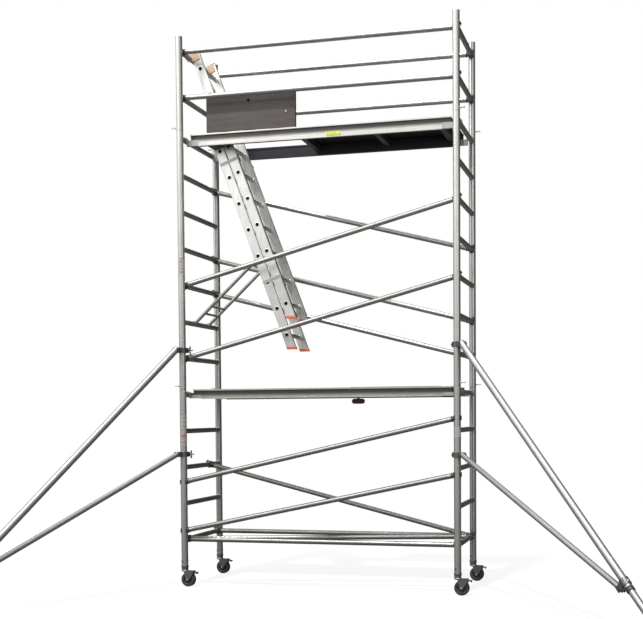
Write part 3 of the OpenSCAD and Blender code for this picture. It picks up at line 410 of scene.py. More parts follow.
# ---------------------------------------------------------------- mesh helpers
class Build:
    """Collects closed shapes into one mesh, then makes one named piece of them."""

    def __init__(self):
        self.verts, self.faces = [], []

    def add(self, verts, faces):
        base = len(self.verts)
        self.verts += [tuple(v) for v in verts]
        self.faces += [tuple(base + i for i in f) for f in faces]

    def lathe(self, profile, at, segs):
        """profile: (radius, height) pairs, revolved about the matrix's Z; closed if both ends agree."""
        rings, verts, faces = len(profile), [], []
        for r, h in profile:
            for k in range(segs):
                a = 2 * math.pi * k / segs
                verts.append(at @ Vector((r * math.cos(a), r * math.sin(a), h)))
        for i in range(rings - 1):
            for k in range(segs):
                n = (k + 1) % segs
                faces.append((i * segs + k, i * segs + n, (i + 1) * segs + n, (i + 1) * segs + k))
        if profile[0] != profile[-1]:
            faces.append(tuple(reversed(range(segs))))
            faces.append(tuple((rings - 1) * segs + k for k in range(segs)))
        else:
            verts = verts[:-segs]
            faces = [tuple(v % ((rings - 1) * segs) for v in f) for f in faces]
        self.add(verts, faces)

    def ring(self, profile, at, segs):
        """A hollow turned shape, whose profile closes on itself."""
        self.lathe([*profile, profile[0]], at, segs)

    def path(self, points, radius, segs, closed=False):
        """A round bead or wire along points; radius may be a list."""
        count = len(points)
        radii = radius if isinstance(radius, list) else [radius] * count
        verts, faces = [], []
        last = None
        for i, p in enumerate(points):
            a = points[i - 1] if closed or i else p
            b = points[(i + 1) % count] if closed or i < count - 1 else p
            along = (Vector(b) - Vector(a)).normalized()
            side = last - along * last.dot(along) if last else along.orthogonal()
            side.normalize()
            last = side
            other = along.cross(side)
            for k in range(segs):
                t = 2 * math.pi * k / segs
                verts.append(Vector(p) + radii[i] * (math.cos(t) * side + math.sin(t) * other))
        for i in range(count if closed else count - 1):
            j = (i + 1) % count
            for k in range(segs):
                n = (k + 1) % segs
                faces.append((i * segs + k, i * segs + n, j * segs + n, j * segs + k))
        if not closed:
            faces.append(tuple(reversed(range(segs))))
            faces.append(tuple((count - 1) * segs + k for k in range(segs)))
        self.add(verts, faces)

    def block(self, size, at, bevel, segments=2):
        """A box with rounded edges."""
        bm = bmesh.new()
        bmesh.ops.create_cube(bm, size=1.0)
        bmesh.ops.scale(bm, vec=size, verts=bm.verts)
        bmesh.ops.bevel(bm, geom=bm.edges[:], offset=min(bevel, min(size) * 0.45),
                        segments=segments, affect="EDGES", profile=0.5)
        bm.verts.index_update()
        self.add([at @ v.co for v in bm.verts], [[v.index for v in f.verts] for f in bm.faces])
        bm.free()

    def rivet(self, at, radius, height):
        """A low domed head."""
        self.lathe([(radius, -0.001), (radius, height * 0.25), (radius * 0.82, height * 0.7),
                    (radius * 0.45, height), (0.0002, height * 1.02)], at, 14)

    def hex_nut(self, at, across, height, bolt):
        """A washer, a nut and the end of its bolt."""
        r = across / math.sqrt(3)
        self.lathe([(r * 1.25, -0.0015), (r * 1.25, 0.0)], at, 28)
        self.lathe([(r * 0.93, 0.0), (r, height * 0.12), (r, height * 0.86), (r * 0.86, height)], at, 6)
        self.lathe([(bolt, height * 0.9), (bolt, height + 0.0035), (bolt * 0.8, height + 0.0045)], at, 16)

    def done(self, name, body, mat, smooth=40):
        """Makes the piece, and has it ride a body in a material slot."""
        mesh = bpy.data.meshes.new(name)
        mesh.from_pydata(self.verts, [], self.faces)
        mesh.validate()
        bm = bmesh.new()
        bm.from_mesh(mesh)
        bmesh.ops.recalc_face_normals(bm, faces=bm.faces)
        bm.to_mesh(mesh)
        bm.free()
        obj = bpy.data.objects.new(name, mesh)
        bpy.context.collection.objects.link(obj)
        mesh.materials.append(mat)
        soften(obj, smooth)
        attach(obj, body)
        return obj


def soften(obj, degrees):
    """Smooth shading with edges sharper than so many degrees kept."""
    mesh = obj.data
    mesh.shade_smooth()
    bm = bmesh.new()
    bm.from_mesh(mesh)
    limit = math.radians(degrees)
    for e in bm.edges:
        e.smooth = len(e.link_faces) == 2 and e.calc_face_angle(0.0) < limit
    bm.to_mesh(mesh)
    bm.free()


def aimed(origin, direction):
    """Matrix with Z along direction at origin."""
    turn = Vector(direction).normalized().to_track_quat("Z", "Y").to_matrix().to_4x4()
    return Matrix.Translation(Vector(origin)) @ turn


def level_out(degrees):
    """A level unit vector that points so many degrees round from +X."""
    a = math.radians(degrees)
    return Vector((math.cos(a), math.sin(a), 0))


# ---------------------------------------------------------------- materials
frame_low = frame_metal("frame_aluminium", RUNGS[0], PITCH)
frame_top = frame_metal("frame_aluminium_guard", GUARD_MID, GUARD_TOP - GUARD_MID)
brace_metal = metal("brace_aluminium", (0.55, 0.545, 0.525), 0.30, along_axis(0))
rail_metal = rail_metal_for("rail_aluminium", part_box("platform_frames")[1][1] - 0.017,
                            (TOP_DECK, LOW_DECK))
ladder_metal = metal("ladder_aluminium", (0.90, 0.89, 0.87), 0.33, (1, 1, 0.05), grime=0.35)
outrigger_metals = {
    side: metal("outrigger_aluminium_" + side, (0.60, 0.61, 0.61), 0.42, grime=0.65,
                drawn=JOINTS["outrigger_%s_reach" % side]["axis"])
    for side in ("left", "right")
}
weld_metal = cast("weld_bead", (0.62, 0.61, 0.58))
cast_metal = cast("cast_aluminium", (0.56, 0.57, 0.57))
warm_cast = moulded("painted_casting", (0.52, 0.36, 0.24), 0.42, (0.66, 0.62, 0.56), grain=160)
zinc = plated("zinc_plate", (0.66, 0.66, 0.64))
fork_steel = plated("fork_plate", (0.20, 0.205, 0.195), 0.42)
dark_steel = plated("dark_plate", (0.17, 0.18, 0.18), 0.45)
clamp_steel = plated("clamp_plate", (0.20, 0.19, 0.18), 0.45)
hinge_steel = plated("hinge_plate", (0.24, 0.24, 0.235), 0.5)
black_plastic = moulded("black_plastic", (0.022, 0.022, 0.024))
trigger_plastic = moulded("trigger_plastic", (0.075, 0.075, 0.08), 0.38)
maroon_plastic = moulded("maroon_plastic", (0.075, 0.018, 0.022), 0.4, (0.25, 0.12, 0.11))
orange_plastic = moulded("orange_plastic", (0.62, 0.12, 0.035), 0.45, (0.55, 0.36, 0.28))
high = orange_plastic.math("GREATER_THAN", orange_plastic.xyz()[2], TOP_DECK)
low_colour = orange_plastic.bsdf.inputs["Base Color"].links[0].from_socket
orange_plastic.set("Base Color", orange_plastic.mix(high, low_colour, (0.34, 0.27, 0.20)))
foot_rubber = moulded("foot_rubber", (0.018, 0.018, 0.018), 0.65, (0.20, 0.19, 0.18), grain=200)
# The deck boards' undersides are painted near black as shade.
board = ply("phenolic_ply", 1.0, 0.05)
panel = ply("phenolic_ply_panel", 0.58, 0.58)

corners = {
    c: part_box("castor_wheel_" + c)
    for c in ("front_left", "front_right", "rear_left", "rear_right")
}
node_materials = {
    "frame_base": frame_low, "frame_upper": frame_low, "frame_guard": frame_top,
    "frame_spigots": cast_metal, "spring_clips": zinc, "castor_stems": fork_steel,
    "castor_fork": fork_steel, "castor_axle": zinc, "castor_brake": dark_steel,
    "front_diagonals": brace_metal, "rear_diagonals": brace_metal, "base_braces": brace_metal,
    "guard_rails": brace_metal, "snap_hooks": black_plastic, "hook_triggers": trigger_plastic,
    "post_clips": black_plastic, "platform_frames": rail_metal, "platform_claws": cast_metal,
    "deck_boards": board, "hatch_hinge_pins": hinge_steel, "top_hatch_fold_pin": hinge_steel,
    "low_hatch_fold_pin": zinc, "top_hatch_hinged_leaf": panel, "top_hatch_folding_leaf": panel,
    "low_hatch_hinged_leaf": board, "low_hatch_folding_leaf": board,
    "low_hatch_catch": maroon_plastic, "ladder_lower_feet": orange_plastic,
    "ladder_upper_feet": orange_plastic, "ladder_lower": ladder_metal,
    "ladder_upper": ladder_metal, "ladder_guides": cast_metal, "ladder_hooks": warm_cast,
    "ladder_stay": brace_metal, "outrigger_left_foot": foot_rubber,
    "outrigger_right_foot": foot_rubber, "outrigger_left_clamps": clamp_steel,
    "outrigger_right_clamps": clamp_steel, "outrigger_left": outrigger_metals["left"],
    "outrigger_right": outrigger_metals["right"],
}
wheel_mats = {}
for corner, (low, high) in corners.items():
    centre = [(low[i] + high[i]) / 2 for i in range(3)]
    wheel_mats["castor_wheel_" + corner] = tyre("tyre_" + corner, centre, (high[2] - low[2]) / 2)
for name, obj in frame["nodes"].items():
    keys = [k for k in node_materials if name.startswith(k)]
    mat = wheel_mats.get(name) or node_materials[max(keys, key=len)]
    obj.data.materials.clear()
    obj.data.materials.append(mat.mat)

# ---------------------------------------------------------------- end frames
# A wavy weld bead round both ends of every rung, on the saddle where it meets its post
rng = np.random.default_rng(7)
WELD_STEPS = 40
WELD_R = RUNG_R + 0.001
welds = Build()
rung_ends = [(sx, sy, z) for sx in (-1, 1) for z in RUNGS + [GUARD_MID, GUARD_TOP] for sy in (-1, 1)]
for sx, sy, z in rung_ends:
    points, radii = [], []
    for k in range(WELD_STEPS):
        t = 2 * math.pi * k / WELD_STEPS
        x = WELD_R * math.cos(t)
        y = HALF_W - math.sqrt(POST_R ** 2 - x * x) - 0.0008
        points.append((sx * HALF_L + x, sy * y, z + WELD_R * math.sin(t)))
        radii.append(0.0030 + 0.0006 * math.sin(13 * t) + 0.0002 * float(rng.standard_normal()))
    welds.path(points, radii, 6, closed=True)
welds.done("rung_welds", "tower", weld_metal.mat)

# A dark seam and eight spigot rivets at each post joint
posts = [(sx * HALF_L, sy * HALF_W) for sx in (-1, 1) for sy in (-1, 1)]
seams = Build()
rivets = Build()
for x, y in posts:
    for z in (BASE_JOINT, GUARD_JOINT):
        at = Matrix.Translation((x, y, z))
        seams.ring([(POST_R - 0.0015, -0.0011), (POST_R + 0.00015, -0.0011),
                    (POST_R + 0.00015, 0.0011), (POST_R - 0.0015, 0.0011)], at, 40)
        for turn in (35, 145, 215, 325):
            out = level_out(turn)
            for drop in (0.020, 0.044):
                rivets.rivet(aimed(Vector((x, y, z - drop)) + out * POST_R, out), 0.0042, 0.002)
seams.done("joint_seams", "tower", black_plastic.mat)
rivets.done("spigot_rivets", "tower", zinc.mat)

# Swaged rims that finish the open post tops
rims = Build()
for x, y in posts:
    rims.ring([(POST_R - 0.0022, -0.004), (POST_R + 0.0006, -0.004), (POST_R + 0.0010, -0.0015),
               (POST_R + 0.0004, 0.0), (POST_R - 0.0016, 0.0003), (POST_R - 0.0022, -0.001)],
              Matrix.Translation((x, y, POST_TOP)), 40)
rims.done("post_rims", "tower", frame_top.mat)

# The collar where each post ends, and two nuts that hold the castor stem
stems = Build()
for x, y in posts:
    low = base_box[0][2]
    stems.ring([(POST_R - 0.001, -0.002), (POST_R + 0.0022, -0.002), (POST_R + 0.003, 0.001),
                (POST_R + 0.003, 0.010), (POST_R + 0.0018, 0.013), (POST_R - 0.001, 0.013)],
               Matrix.Translation((x, y, low)), 40)
    for turn in (60, 240):
        out = level_out(turn)
        stems.hex_nut(aimed(Vector((x, y, low + 0.045)) + out * (POST_R + 0.0008), out),
                      0.010, 0.005, 0.003)
stems.done("stem_collars", "tower", fork_steel.mat)

# ---------------------------------------------------------------- braces, rails and hooks
# Each line is (y, z) at the left end and (y, z) at the right end
lines = [
    (-BRACE_Y, RUNGS[7], -BRACE_Y, RUNGS[9]), (-BRACE_Y, RUNGS[5], -BRACE_Y, RUNGS[7]),
    (BRACE_Y, RUNGS[10], BRACE_Y, RUNGS[8]), (BRACE_Y, RUNGS[8], BRACE_Y, RUNGS[6]),
    (BRACE_Y, RUNGS[7], BRACE_Y, RUNGS[5]),
    (BRACE_Y - 4 * HOOK_STEP, RUNGS[2], BRACE_Y - HOOK_STEP, RUNGS[0]),
    (-BRACE_Y, RUNGS[0], -BRACE_Y, RUNGS[0]), (BRACE_Y, RUNGS[0], BRACE_Y, RUNGS[0]),
    (-BRACE_Y + HOOK_STEP, RUNGS[0], BRACE_Y - 2 * HOOK_STEP, RUNGS[0]),
]
lines += [(s * BRACE_Y, z, s * BRACE_Y, z) for s in (-1, 1) for z in (GUARD_MID, GUARD_TOP)]
# The two front diagonals that clip round the posts, not on the rungs
clip_lines = [(-HALF_W, RUNGS[0] + 0.070, -HALF_W, RUNGS[2] - 0.042),
              (-HALF_W, RUNGS[2] - 0.113, -HALF_W, RUNGS[3] + 0.090)]
crimps = Build()
pins = Build()
bosses = Build()
for group, back in ((lines, 0.034), (clip_lines, POST_R + 0.016)):
    for y0, z0, y1, z1 in group:
        a, b = Vector((-HALF_L, y0, z0)), Vector((HALF_L, y1, z1))
        for p, q in ((a, b), (b, a)):
            d = (q - p).normalized()
            at = aimed(p + d * back, d)
            bosses.ring([(BRACE_R - 0.003, -0.007), (BRACE_R + 0.0022, -0.007),
                         (BRACE_R + 0.0030, -0.004), (BRACE_R + 0.0030, 0.0),
                         (BRACE_R + 0.0016, 0.0035), (BRACE_R - 0.003, 0.0035)], at, 32)
            for s in (0.016, 0.030):
                crimps.ring([(BRACE_R - 0.001, s - 0.0028), (BRACE_R + 0.0003, s - 0.0028),
                             (BRACE_R + 0.0011, s - 0.001), (BRACE_R + 0.0011, s + 0.001),
                             (BRACE_R + 0.0003, s + 0.0028), (BRACE_R - 0.001, s + 0.0028)], at, 32)
            for side in (-1, 1):
                pins.rivet(aimed(p + d * (back + 0.023) + Vector((0, side * BRACE_R, 0)),
                                 (0, side, 0)), 0.0042, 0.0024)
crimps.done("brace_crimps", "tower", brace_metal.mat)
pins.done("brace_rivets", "tower", zinc.mat)
bosses.done("hook_bosses", "tower", black_plastic.mat)

# Side bolts and ribs on each hook; a ribbed thumb pad on each trigger
hook_parts = Build()
hook_pins = Build()
pads = Build()
for y0, z0, y1, z1 in lines:
    for sx, y, z in ((-1, y0, z0), (1, y1, z1)):
        inward = -sx
        for side in (-1, 1):
            face = y + side * 0.015
            for k in (-1, 0, 1):
                a = math.radians(90 + 34 * k)
                centre = Vector((sx * HALF_L, face, z))
                out = Vector((math.cos(a), 0, math.sin(a)))
                spot = centre + out * 0.0238
                hook_parts.block((0.0035, 0.0022, 0.0075),
                                 Matrix.Translation(spot) @ Matrix.Rotation(-a + math.pi / 2, 4, "Y"),
                                 0.0008)
            hook_pins.hex_nut(aimed((sx * HALF_L + inward * 0.024, face - side * 0.001, z),
                                    (0, side, 0)), 0.008, 0.003, 0.002)
        top = z + 0.036
        x = sx * HALF_L - inward * 0.0165
        for k in range(4):
            pads.block((0.0018, 0.018, 0.0016),
                       Matrix.Translation((x - 0.004 + 0.0027 * k, y, top)), 0.0005)
hook_parts.done("hook_ribs", "tower", black_plastic.mat)
hook_pins.done("hook_bolts", "tower", zinc.mat)
pads.done("trigger_grips", "hook_triggers", trigger_plastic.mat)

# ---------------------------------------------------------------- platforms
frames_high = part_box("platform_frames")[1]
RAIL_Y = frames_high[1]
RAIL_END = frames_high[0]
BOX_END = RAIL_END - 0.066
# The decks' screws run from the rail ends to the two edges of the hatch
HATCH_NEAR, HATCH_FAR, SCREW_Y = -0.168, -0.887, 0.268
rail_rivets = Build()
screws = Build()
for deck, sx, high in ((TOP_DECK, 1, 0.092), (LOW_DECK, -1, 0.074)):
    for sy in (-1, 1):
        for k in range(11):
            x = -RAIL_END + 0.10 + k * (2 * RAIL_END - 0.20) / 10
            rail_rivets.rivet(aimed((x, sy * RAIL_Y, deck - (0.042 + high) / 2), (0, sy, 0)), 0.0045, 0.002)
        for k in range(5):
            x = -RAIL_END + 0.06 + k * (2 * RAIL_END - 0.12) / 4
            rail_rivets.rivet(aimed((x, sy * RAIL_Y, deck - 0.006), (0, sy, 0)), 0.003, 0.0014)
        for z in (0.048, high - 0.006):
            rail_rivets.path([(-BOX_END + 0.001, sy * (RAIL_Y + 0.0001), deck - z),
                              (BOX_END - 0.001, sy * (RAIL_Y + 0.0001), deck - z)], 0.0009, 6)
    for x0, x1 in ((HATCH_NEAR, RAIL_END - 0.002), (-RAIL_END + 0.002, HATCH_FAR)):
        n = max(2, int(round((x1 - x0) / 0.22)))
        for k in range(n + 1):
            for y in (-SCREW_Y, SCREW_Y):
                x = x0 + 0.02 + k * (x1 - x0 - 0.04) / n
                screws.lathe([(0.0048, -0.001), (0.0048, 0.0002), (0.0038, 0.0009),
                              (0.0022, 0.0010), (0.0016, 0.0004), (0.0003, 0.0004)],
                             Matrix.Translation((sx * x, y, deck - 0.002)), 16)
rail_rivets.done("rail_rivets", "tower", rail_metal.mat)
screws.done("deck_screws", "tower", zinc.mat)

# Top folding leaf: hinge screws, the finger-hole liner and a white stop
top_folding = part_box("top_hatch_folding_leaf")
hatch_x0, hatch_x1 = top_folding[0][0], top_folding[1][0]
STEP = (hatch_x1 - hatch_x0 + 0.004) / 7
front = top_folding[0][1]
fold_z = JOINTS["top_hatch_fold"]["pos_m"][2]
leaf_screws = Build()
for k in (1, 3, 5):
    for dx in (0.25, 0.75):
        for drop in (0.018, 0.029):
            x = hatch_x0 + STEP * (k + dx)
            leaf_screws.lathe([(0.0042, -0.001), (0.0042, 0.0003), (0.0030, 0.0011),
                               (0.0016, 0.0008), (0.0003, 0.0008)],
                              aimed((x, front, fold_z - drop), (0, -1, 0)), 16)
leaf_screws.done("top_leaf_screws", "top_folding_leaf", hinge_steel.mat)
liner = Build()
hole_x = (hatch_x0 + hatch_x1) / 2 - 0.015
hole_at = aimed((hole_x, front - 0.0002, fold_z - 0.051), (0, -1, 0))
liner.ring([(0.0122, -0.004), (0.0155, -0.0002), (0.0150, 0.0010), (0.0130, 0.0012),
            (0.0116, 0.0004), (0.0114, -0.004)], hole_at, 36)
liner.done("top_leaf_liner", "top_folding_leaf", black_plastic.mat)
stop = Build()
stop.lathe([(0.006, -0.0005), (0.006, 0.0015), (0.0052, 0.0028), (0.003, 0.0034), (0.0003, 0.0035)],
           aimed((hatch_x1 - 0.072, front, fold_z - 0.155), (0, -1, 0)), 24)
stop.done("top_leaf_stop", "top_folding_leaf", moulded("white_plastic", (0.75, 0.74, 0.70)).mat)

# ---------------------------------------------------------------- ladder
LEAN = math.radians(20.3)
ladder_axis = Vector((-math.sin(LEAN), 0, math.cos(LEAN)))
ladder_out = Vector((math.cos(LEAN), 0, math.sin(LEAN)))
ladder_ref = Vector((-HALF_L + 0.309, 0.010, RUNGS[11] - 0.013))
LADDER_W, STILE_D, STILE_T, LADDER_STEP = 0.370, 0.070, 0.025, 0.218


def on_ladder(u, v, s):
    """The point u out from the ladder, v across it and s up along it."""
    return ladder_ref + ladder_out * u + Vector((0, v, 0)) + ladder_axis * s


# Name, body, u, s of the top rung, rungs, lowest rung to sole, s of the stile's top
SECTIONS = (("lower", "tower", -0.080, -0.034, 8, 0.118, -0.014),
            ("upper", "ladder_upper", 0.0, 0.630, 10, 0.124, 0.758))
FOOT_H = 0.018
for name, body, u, top, count, under, end in SECTIONS:
    flares = Build()
    ribs = Build()
    for k in range(count):
        s = top - k * LADDER_STEP
        for side in (-1, 1):
            at = aimed(on_ladder(u, side * LADDER_W / 2, s), (0, side, 0))
            flares.ring([(0.0128, -0.002), (0.0178, -0.0008), (0.0176, 0.0009), (0.0160, 0.0017),
                         (0.0140, 0.0016), (0.0131, 0.0004)], at, 36)
            inner = aimed(on_ladder(u, side * (LADDER_W / 2 - STILE_T), s), (0, -side, 0))
            flares.ring([(0.0148, -0.001), (0.0182, -0.001), (0.0176, 0.0014), (0.0158, 0.0026),
                         (0.0148, 0.0026)], inner, 36)
        for k2 in range(18):
            a = 2 * math.pi * k2 / 18
            off = ladder_out * (0.0150 * math.cos(a)) + ladder_axis * (0.0150 * math.sin(a))
            p = on_ladder(u, 0, s) + off
            half = Vector((0, LADDER_W / 2 - STILE_T - 0.001, 0))
            ribs.path([p - half, p + half], 0.0007, 5)
    sole = top - (count - 1) * LADDER_STEP - under
    bottom = sole + FOOT_H / math.cos(LEAN)
    for side in (-1, 1):
        for du in (-STILE_D / 2 + 0.004, STILE_D / 2 - 0.004):
            start = bottom - du * math.tan(LEAN) + 0.002
            ribs.path([on_ladder(u + du, side * (LADDER_W / 2 + 0.00005), start),
                       on_ladder(u + du, side * (LADDER_W / 2 + 0.00005), end - 0.002)],
                      0.0011, 6)
    flares.done("ladder_%s_flares" % name, body, ladder_metal.mat)
    ribs.done("ladder_%s_ribs" % name, body, ladder_metal.mat)
    plugs = Build()
    for side in (-1, 1):
        for s in ((bottom + 0.022,) if name == "lower" else (bottom + 0.022, end - 0.012)):
            for du in (-0.018, 0.018):
                plugs.rivet(aimed(on_ladder(u + du, side * LADDER_W / 2, s), (0, side, 0)),
                            0.0032, 0.0015)
    plugs.done("ladder_%s_rivets" % name, body, zinc.mat)

# Ribbed treads under the level soles
for name, body, u, top, count, under, end in SECTIONS:
    sole = top - (count - 1) * LADDER_STEP - under
    treads = Build()
    for side in (-1, 1):
        centre = on_ladder(u, side * (LADDER_W - STILE_T) / 2, sole)
        for k in range(6):
            treads.block((0.004, STILE_T + 0.003, 0.003),
                         Matrix.Translation(centre + Vector((-0.030 + 0.012 * k, 0, -0.0003))), 0.0008)
    treads.done("ladder_%s_treads" % name, body, orange_plastic.mat)

# ---------------------------------------------------------------- castors
hub_plastic = moulded("hub_plastic", (0.040, 0.041, 0.043))
for corner, (low, high) in corners.items():
    cx, cy, cz = [(low[i] + high[i]) / 2 for i in range(3)]
    radius = (high[2] - low[2]) / 2
    hub = Build()
    tread = Build()
    for side in (-1, 1):
        at = aimed((cx, cy + side * 0.0065, cz), (0, side, 0))
        for k in range(10):
            a = 2 * math.pi * k / 10
            spoke = at @ Matrix.Rotation(a, 4, "Z") @ Matrix.Translation((0.0235, 0, 0.004))
            hub.block((0.024, 0.0028, 0.008), spoke, 0.0008)
        hub.ring([(0.0345, 0.0), (0.0362, 0.0), (0.0362, 0.0125), (0.0345, 0.0135),
                  (0.0330, 0.0125), (0.0330, 0.0)], at, 48)
        hub.ring([(0.0095, 0.0), (0.0135, 0.0), (0.0135, 0.0150), (0.0120, 0.0160),
                  (0.0095, 0.0155)], at, 32)
        wall = aimed((cx, cy + side * 0.0215, cz), (0, side, 0))
        for r in (0.0405, 0.0445):
            tread.ring([(r - 0.0011, -0.0004), (r - 0.0005, 0.0009), (r + 0.0005, 0.0009),
                        (r + 0.0011, -0.0004)], wall, 56)
    for k in range(36):
        a = 2 * math.pi * k / 36
        for side in (-1, 1):
            spot = Vector((cx + (radius - 0.0006) * math.cos(a), cy + side * 0.0085,
                           cz + (radius - 0.0006) * math.sin(a)))
            spin = Matrix.Rotation(-a, 4, "Y") @ Matrix.Rotation(side * 0.45, 4, "X")
            tread.block((0.0016, 0.0125, 0.0032), Matrix.Translation(spot) @ spin, 0.0006, 1)
    hub.done("hub_" + corner, "wheel_" + corner, hub_plastic.mat)
    tread.done("tread_" + corner, "wheel_" + corner, foot_rubber.mat)
    post = JOINTS["castor_%s_swivel" % corner]["pos_m"]
    swivel = Build()
    swivel.ring([(0.0235, 0.1212), (0.0265, 0.1212), (0.0275, 0.1228), (0.0275, 0.1262),
                 (0.0262, 0.1280), (0.0235, 0.1280)],
                Matrix.Translation((post[0], post[1], 0)), 48)
    swivel.done("swivel_ring_" + corner, "castor_" + corner, zinc.mat)
    nuts = Build()
    for side in (-1, 1):
        nuts.hex_nut(aimed((cx, cy + side * 0.0362, cz), (0, side, 0)), 0.013, 0.004, 0.004)
    nuts.done("axle_nuts_" + corner, "castor_" + corner, zinc.mat)
    pivot = Vector(JOINTS["brake_%s_press" % corner]["pos_m"])
    pedal = Build()
    tilt = Matrix.Rotation(math.radians(6), 4, "Y")
    for k in range(5):
        pedal.block((0.0022, 0.040, 0.0022),
                    Matrix.Translation(pivot) @ tilt @ Matrix.Translation((0.012 + 0.0052 * k, 0, 0.0035)),
                    0.0007)
    pedal.block((0.007, 0.034, 0.0040),
                Matrix.Translation(pivot) @ tilt @ Matrix.Translation((0.0325, 0, -0.0065)), 0.0012)
    pedal.done("pedal_grip_" + corner, "brake_" + corner, trigger_plastic.mat)

# ---------------------------------------------------------------- outriggers
REACH = 0.064           # post axis to the tube's top bolt
OUTER_SHARE = 0.872     # of the whole length, before the inner tube shows
LOW_CLAMP_Z = 1.023
for side in ("left", "right"):
    swing = Vector(JOINTS["outrigger_%s_swing" % side]["pos_m"])
    down = Vector(JOINTS["outrigger_%s_reach" % side]["axis"])
    foot = Vector(JOINTS["outrigger_%s_foot_tilt" % side]["pos_m"])
    heading = Vector((down.x, down.y, 0)).normalized()
    across = Vector((-heading.y, heading.x, 0))
    head = swing + heading * REACH
    body = "outrigger_" + side
    tube_l = (foot - head).length * OUTER_SHARE
    collar = Build()
    at = aimed(head + down * tube_l, down)
    collar.ring([(0.0224, -0.030), (0.0262, -0.030), (0.0275, -0.027), (0.0275, -0.002),
                 (0.0262, 0.003), (0.0236, 0.004), (0.0224, 0.002)], at, 44)
    top_at = aimed(head - down * 0.012, -down)
    collar.lathe([(0.0215, -0.004), (0.0252, -0.004), (0.0258, 0.0), (0.0240, 0.0025),
                  (0.0100, 0.0035), (0.0002, 0.0036)], top_at, 40)
    collar.done(body + "_collar", body, black_plastic.mat)
    button = Build()
    lift = across.cross(down).normalized()
    lift = lift if lift.z > 0 else -lift
    button.lathe([(0.0062, -0.001), (0.0062, 0.0035), (0.0052, 0.0055), (0.0030, 0.0068), (0.0002, 0.0070)],
                 aimed(head + down * (tube_l - 0.065) + lift * 0.025, lift), 24)
    for k in range(4):
        button.rivet(aimed(head + down * (tube_l - 0.10 - 0.05 * k) + lift * 0.025, lift), 0.0035, 0.0012)
    button.done(body + "_button", body, zinc.mat)
    grips = Build()
    for z in (swing.z, LOW_CLAMP_Z):
        middle = Vector((swing.x, swing.y, z)) - heading * (POST_R + 0.017)
        centre = middle + across * 0.040
        for s in (-1, 1):
            grips.lathe([(0.0030, 0.0), (0.0056, 0.0), (0.0064, 0.003), (0.0058, 0.010), (0.0066, 0.018),
                         (0.0058, 0.0215), (0.0002, 0.0225)], aimed(centre + Vector((0, 0, 0.008 * s)),
                                                                   (0, 0, s)), 20)
    grips.done(body + "_grips", body, black_plastic.mat)
    pad = Build()
    floor_at = Matrix.Translation((foot.x, foot.y, 0))
    for r in (0.041, 0.047, 0.053):
        pad.ring([(r - 0.0016, 0.0116), (r - 0.0007, 0.0134), (r + 0.0007, 0.0134),
                  (r + 0.0016, 0.0116)], floor_at, 48)
    for k in range(24):
        a = 2 * math.pi * k / 24
        pad.block((0.0022, 0.0045, 0.0075), Matrix.Translation((foot.x, foot.y, 0.006)) @
                  Matrix.Rotation(a, 4, "Z") @ Matrix.Translation((0.0580, 0, 0)), 0.0008, 1)
    pad.done(body + "_pad_ribs", "outrigger_%s_foot" % side, foot_rubber.mat)

# ---------------------------------------------------------------- worn stickers, plain bars only
def wrap(name, x, y, z0, z1, facing, half_angle, mat, extra=0.0002):
    """A thin sleeve segment round an upright post."""
    segs = 18
    verts, faces = [], []
    for z in (z0, z1):
        for k in range(segs + 1):
            a = math.radians(facing - half_angle + 2 * half_angle * k / segs)
            for r in (POST_R + extra, POST_R + extra + 0.0002):
                verts.append((x + r * math.cos(a), y + r * math.sin(a), z))
    n = 2 * (segs + 1)
    for k in range(segs):
        a = 2 * k
        faces += [(a + 1, a + 3, n + a + 3, n + a + 1), (a, n + a, n + a + 2, a + 2),
                  (n + a, n + a + 1, n + a + 3, n + a + 2), (a, a + 2, a + 3, a + 1)]
    faces += [(0, 1, n + 1, n), (n - 2, 2 * n - 2, 2 * n - 1, n - 1)]
    b = Build()
    b.add(verts, faces)
    return b.done(name, "tower", mat.mat, smooth=60)


red_bars = bonded("sticker_red", (0.44, 0.43, 0.41), (0.34, 0.22, 0.20), 5, 2, 0.13, 2.40)
pale_bars = bonded("sticker_pale", (0.36, 0.35, 0.33), (0.26, 0.26, 0.25), 8, 2, 0.25, 1.09)
red_spot = bonded("sticker_red_spot", (0.45, 0.06, 0.05), (0.50, 0.30, 0.27), 3, 2, 0.03, 1.15)
light_tag = bonded("sticker_light", (0.40, 0.40, 0.39), (0.28, 0.28, 0.27), 4, 2, 0.075, 1.155)
yellow_tag = bonded("sticker_yellow", (0.72, 0.74, 0.10), (0.50, 0.52, 0.09), 6, 0, 0.115, 0.07)
wrap("post_sticker_upper_left", -HALF_L, -HALF_W, 2.40, 2.53, -62, 52, red_bars)
wrap("post_sticker_lower_left", -HALF_L, -HALF_W, 1.09, 1.34, -62, 52, pale_bars)
wrap("post_sticker_red_left", -HALF_L, -HALF_W, 1.159, 1.171, -62, 50, red_spot, 0.0005)
wrap("post_sticker_right", HALF_L, -HALF_W, 1.155, 1.23, -75, 55, light_tag)
tag = Build()
tag.block((0.115, 0.0006, 0.032), Matrix.Translation((0.128, -RAIL_Y - 0.0004, TOP_DECK - 0.068)), 0.0002)
tag.done("rail_sticker", "tower", yellow_tag.mat)

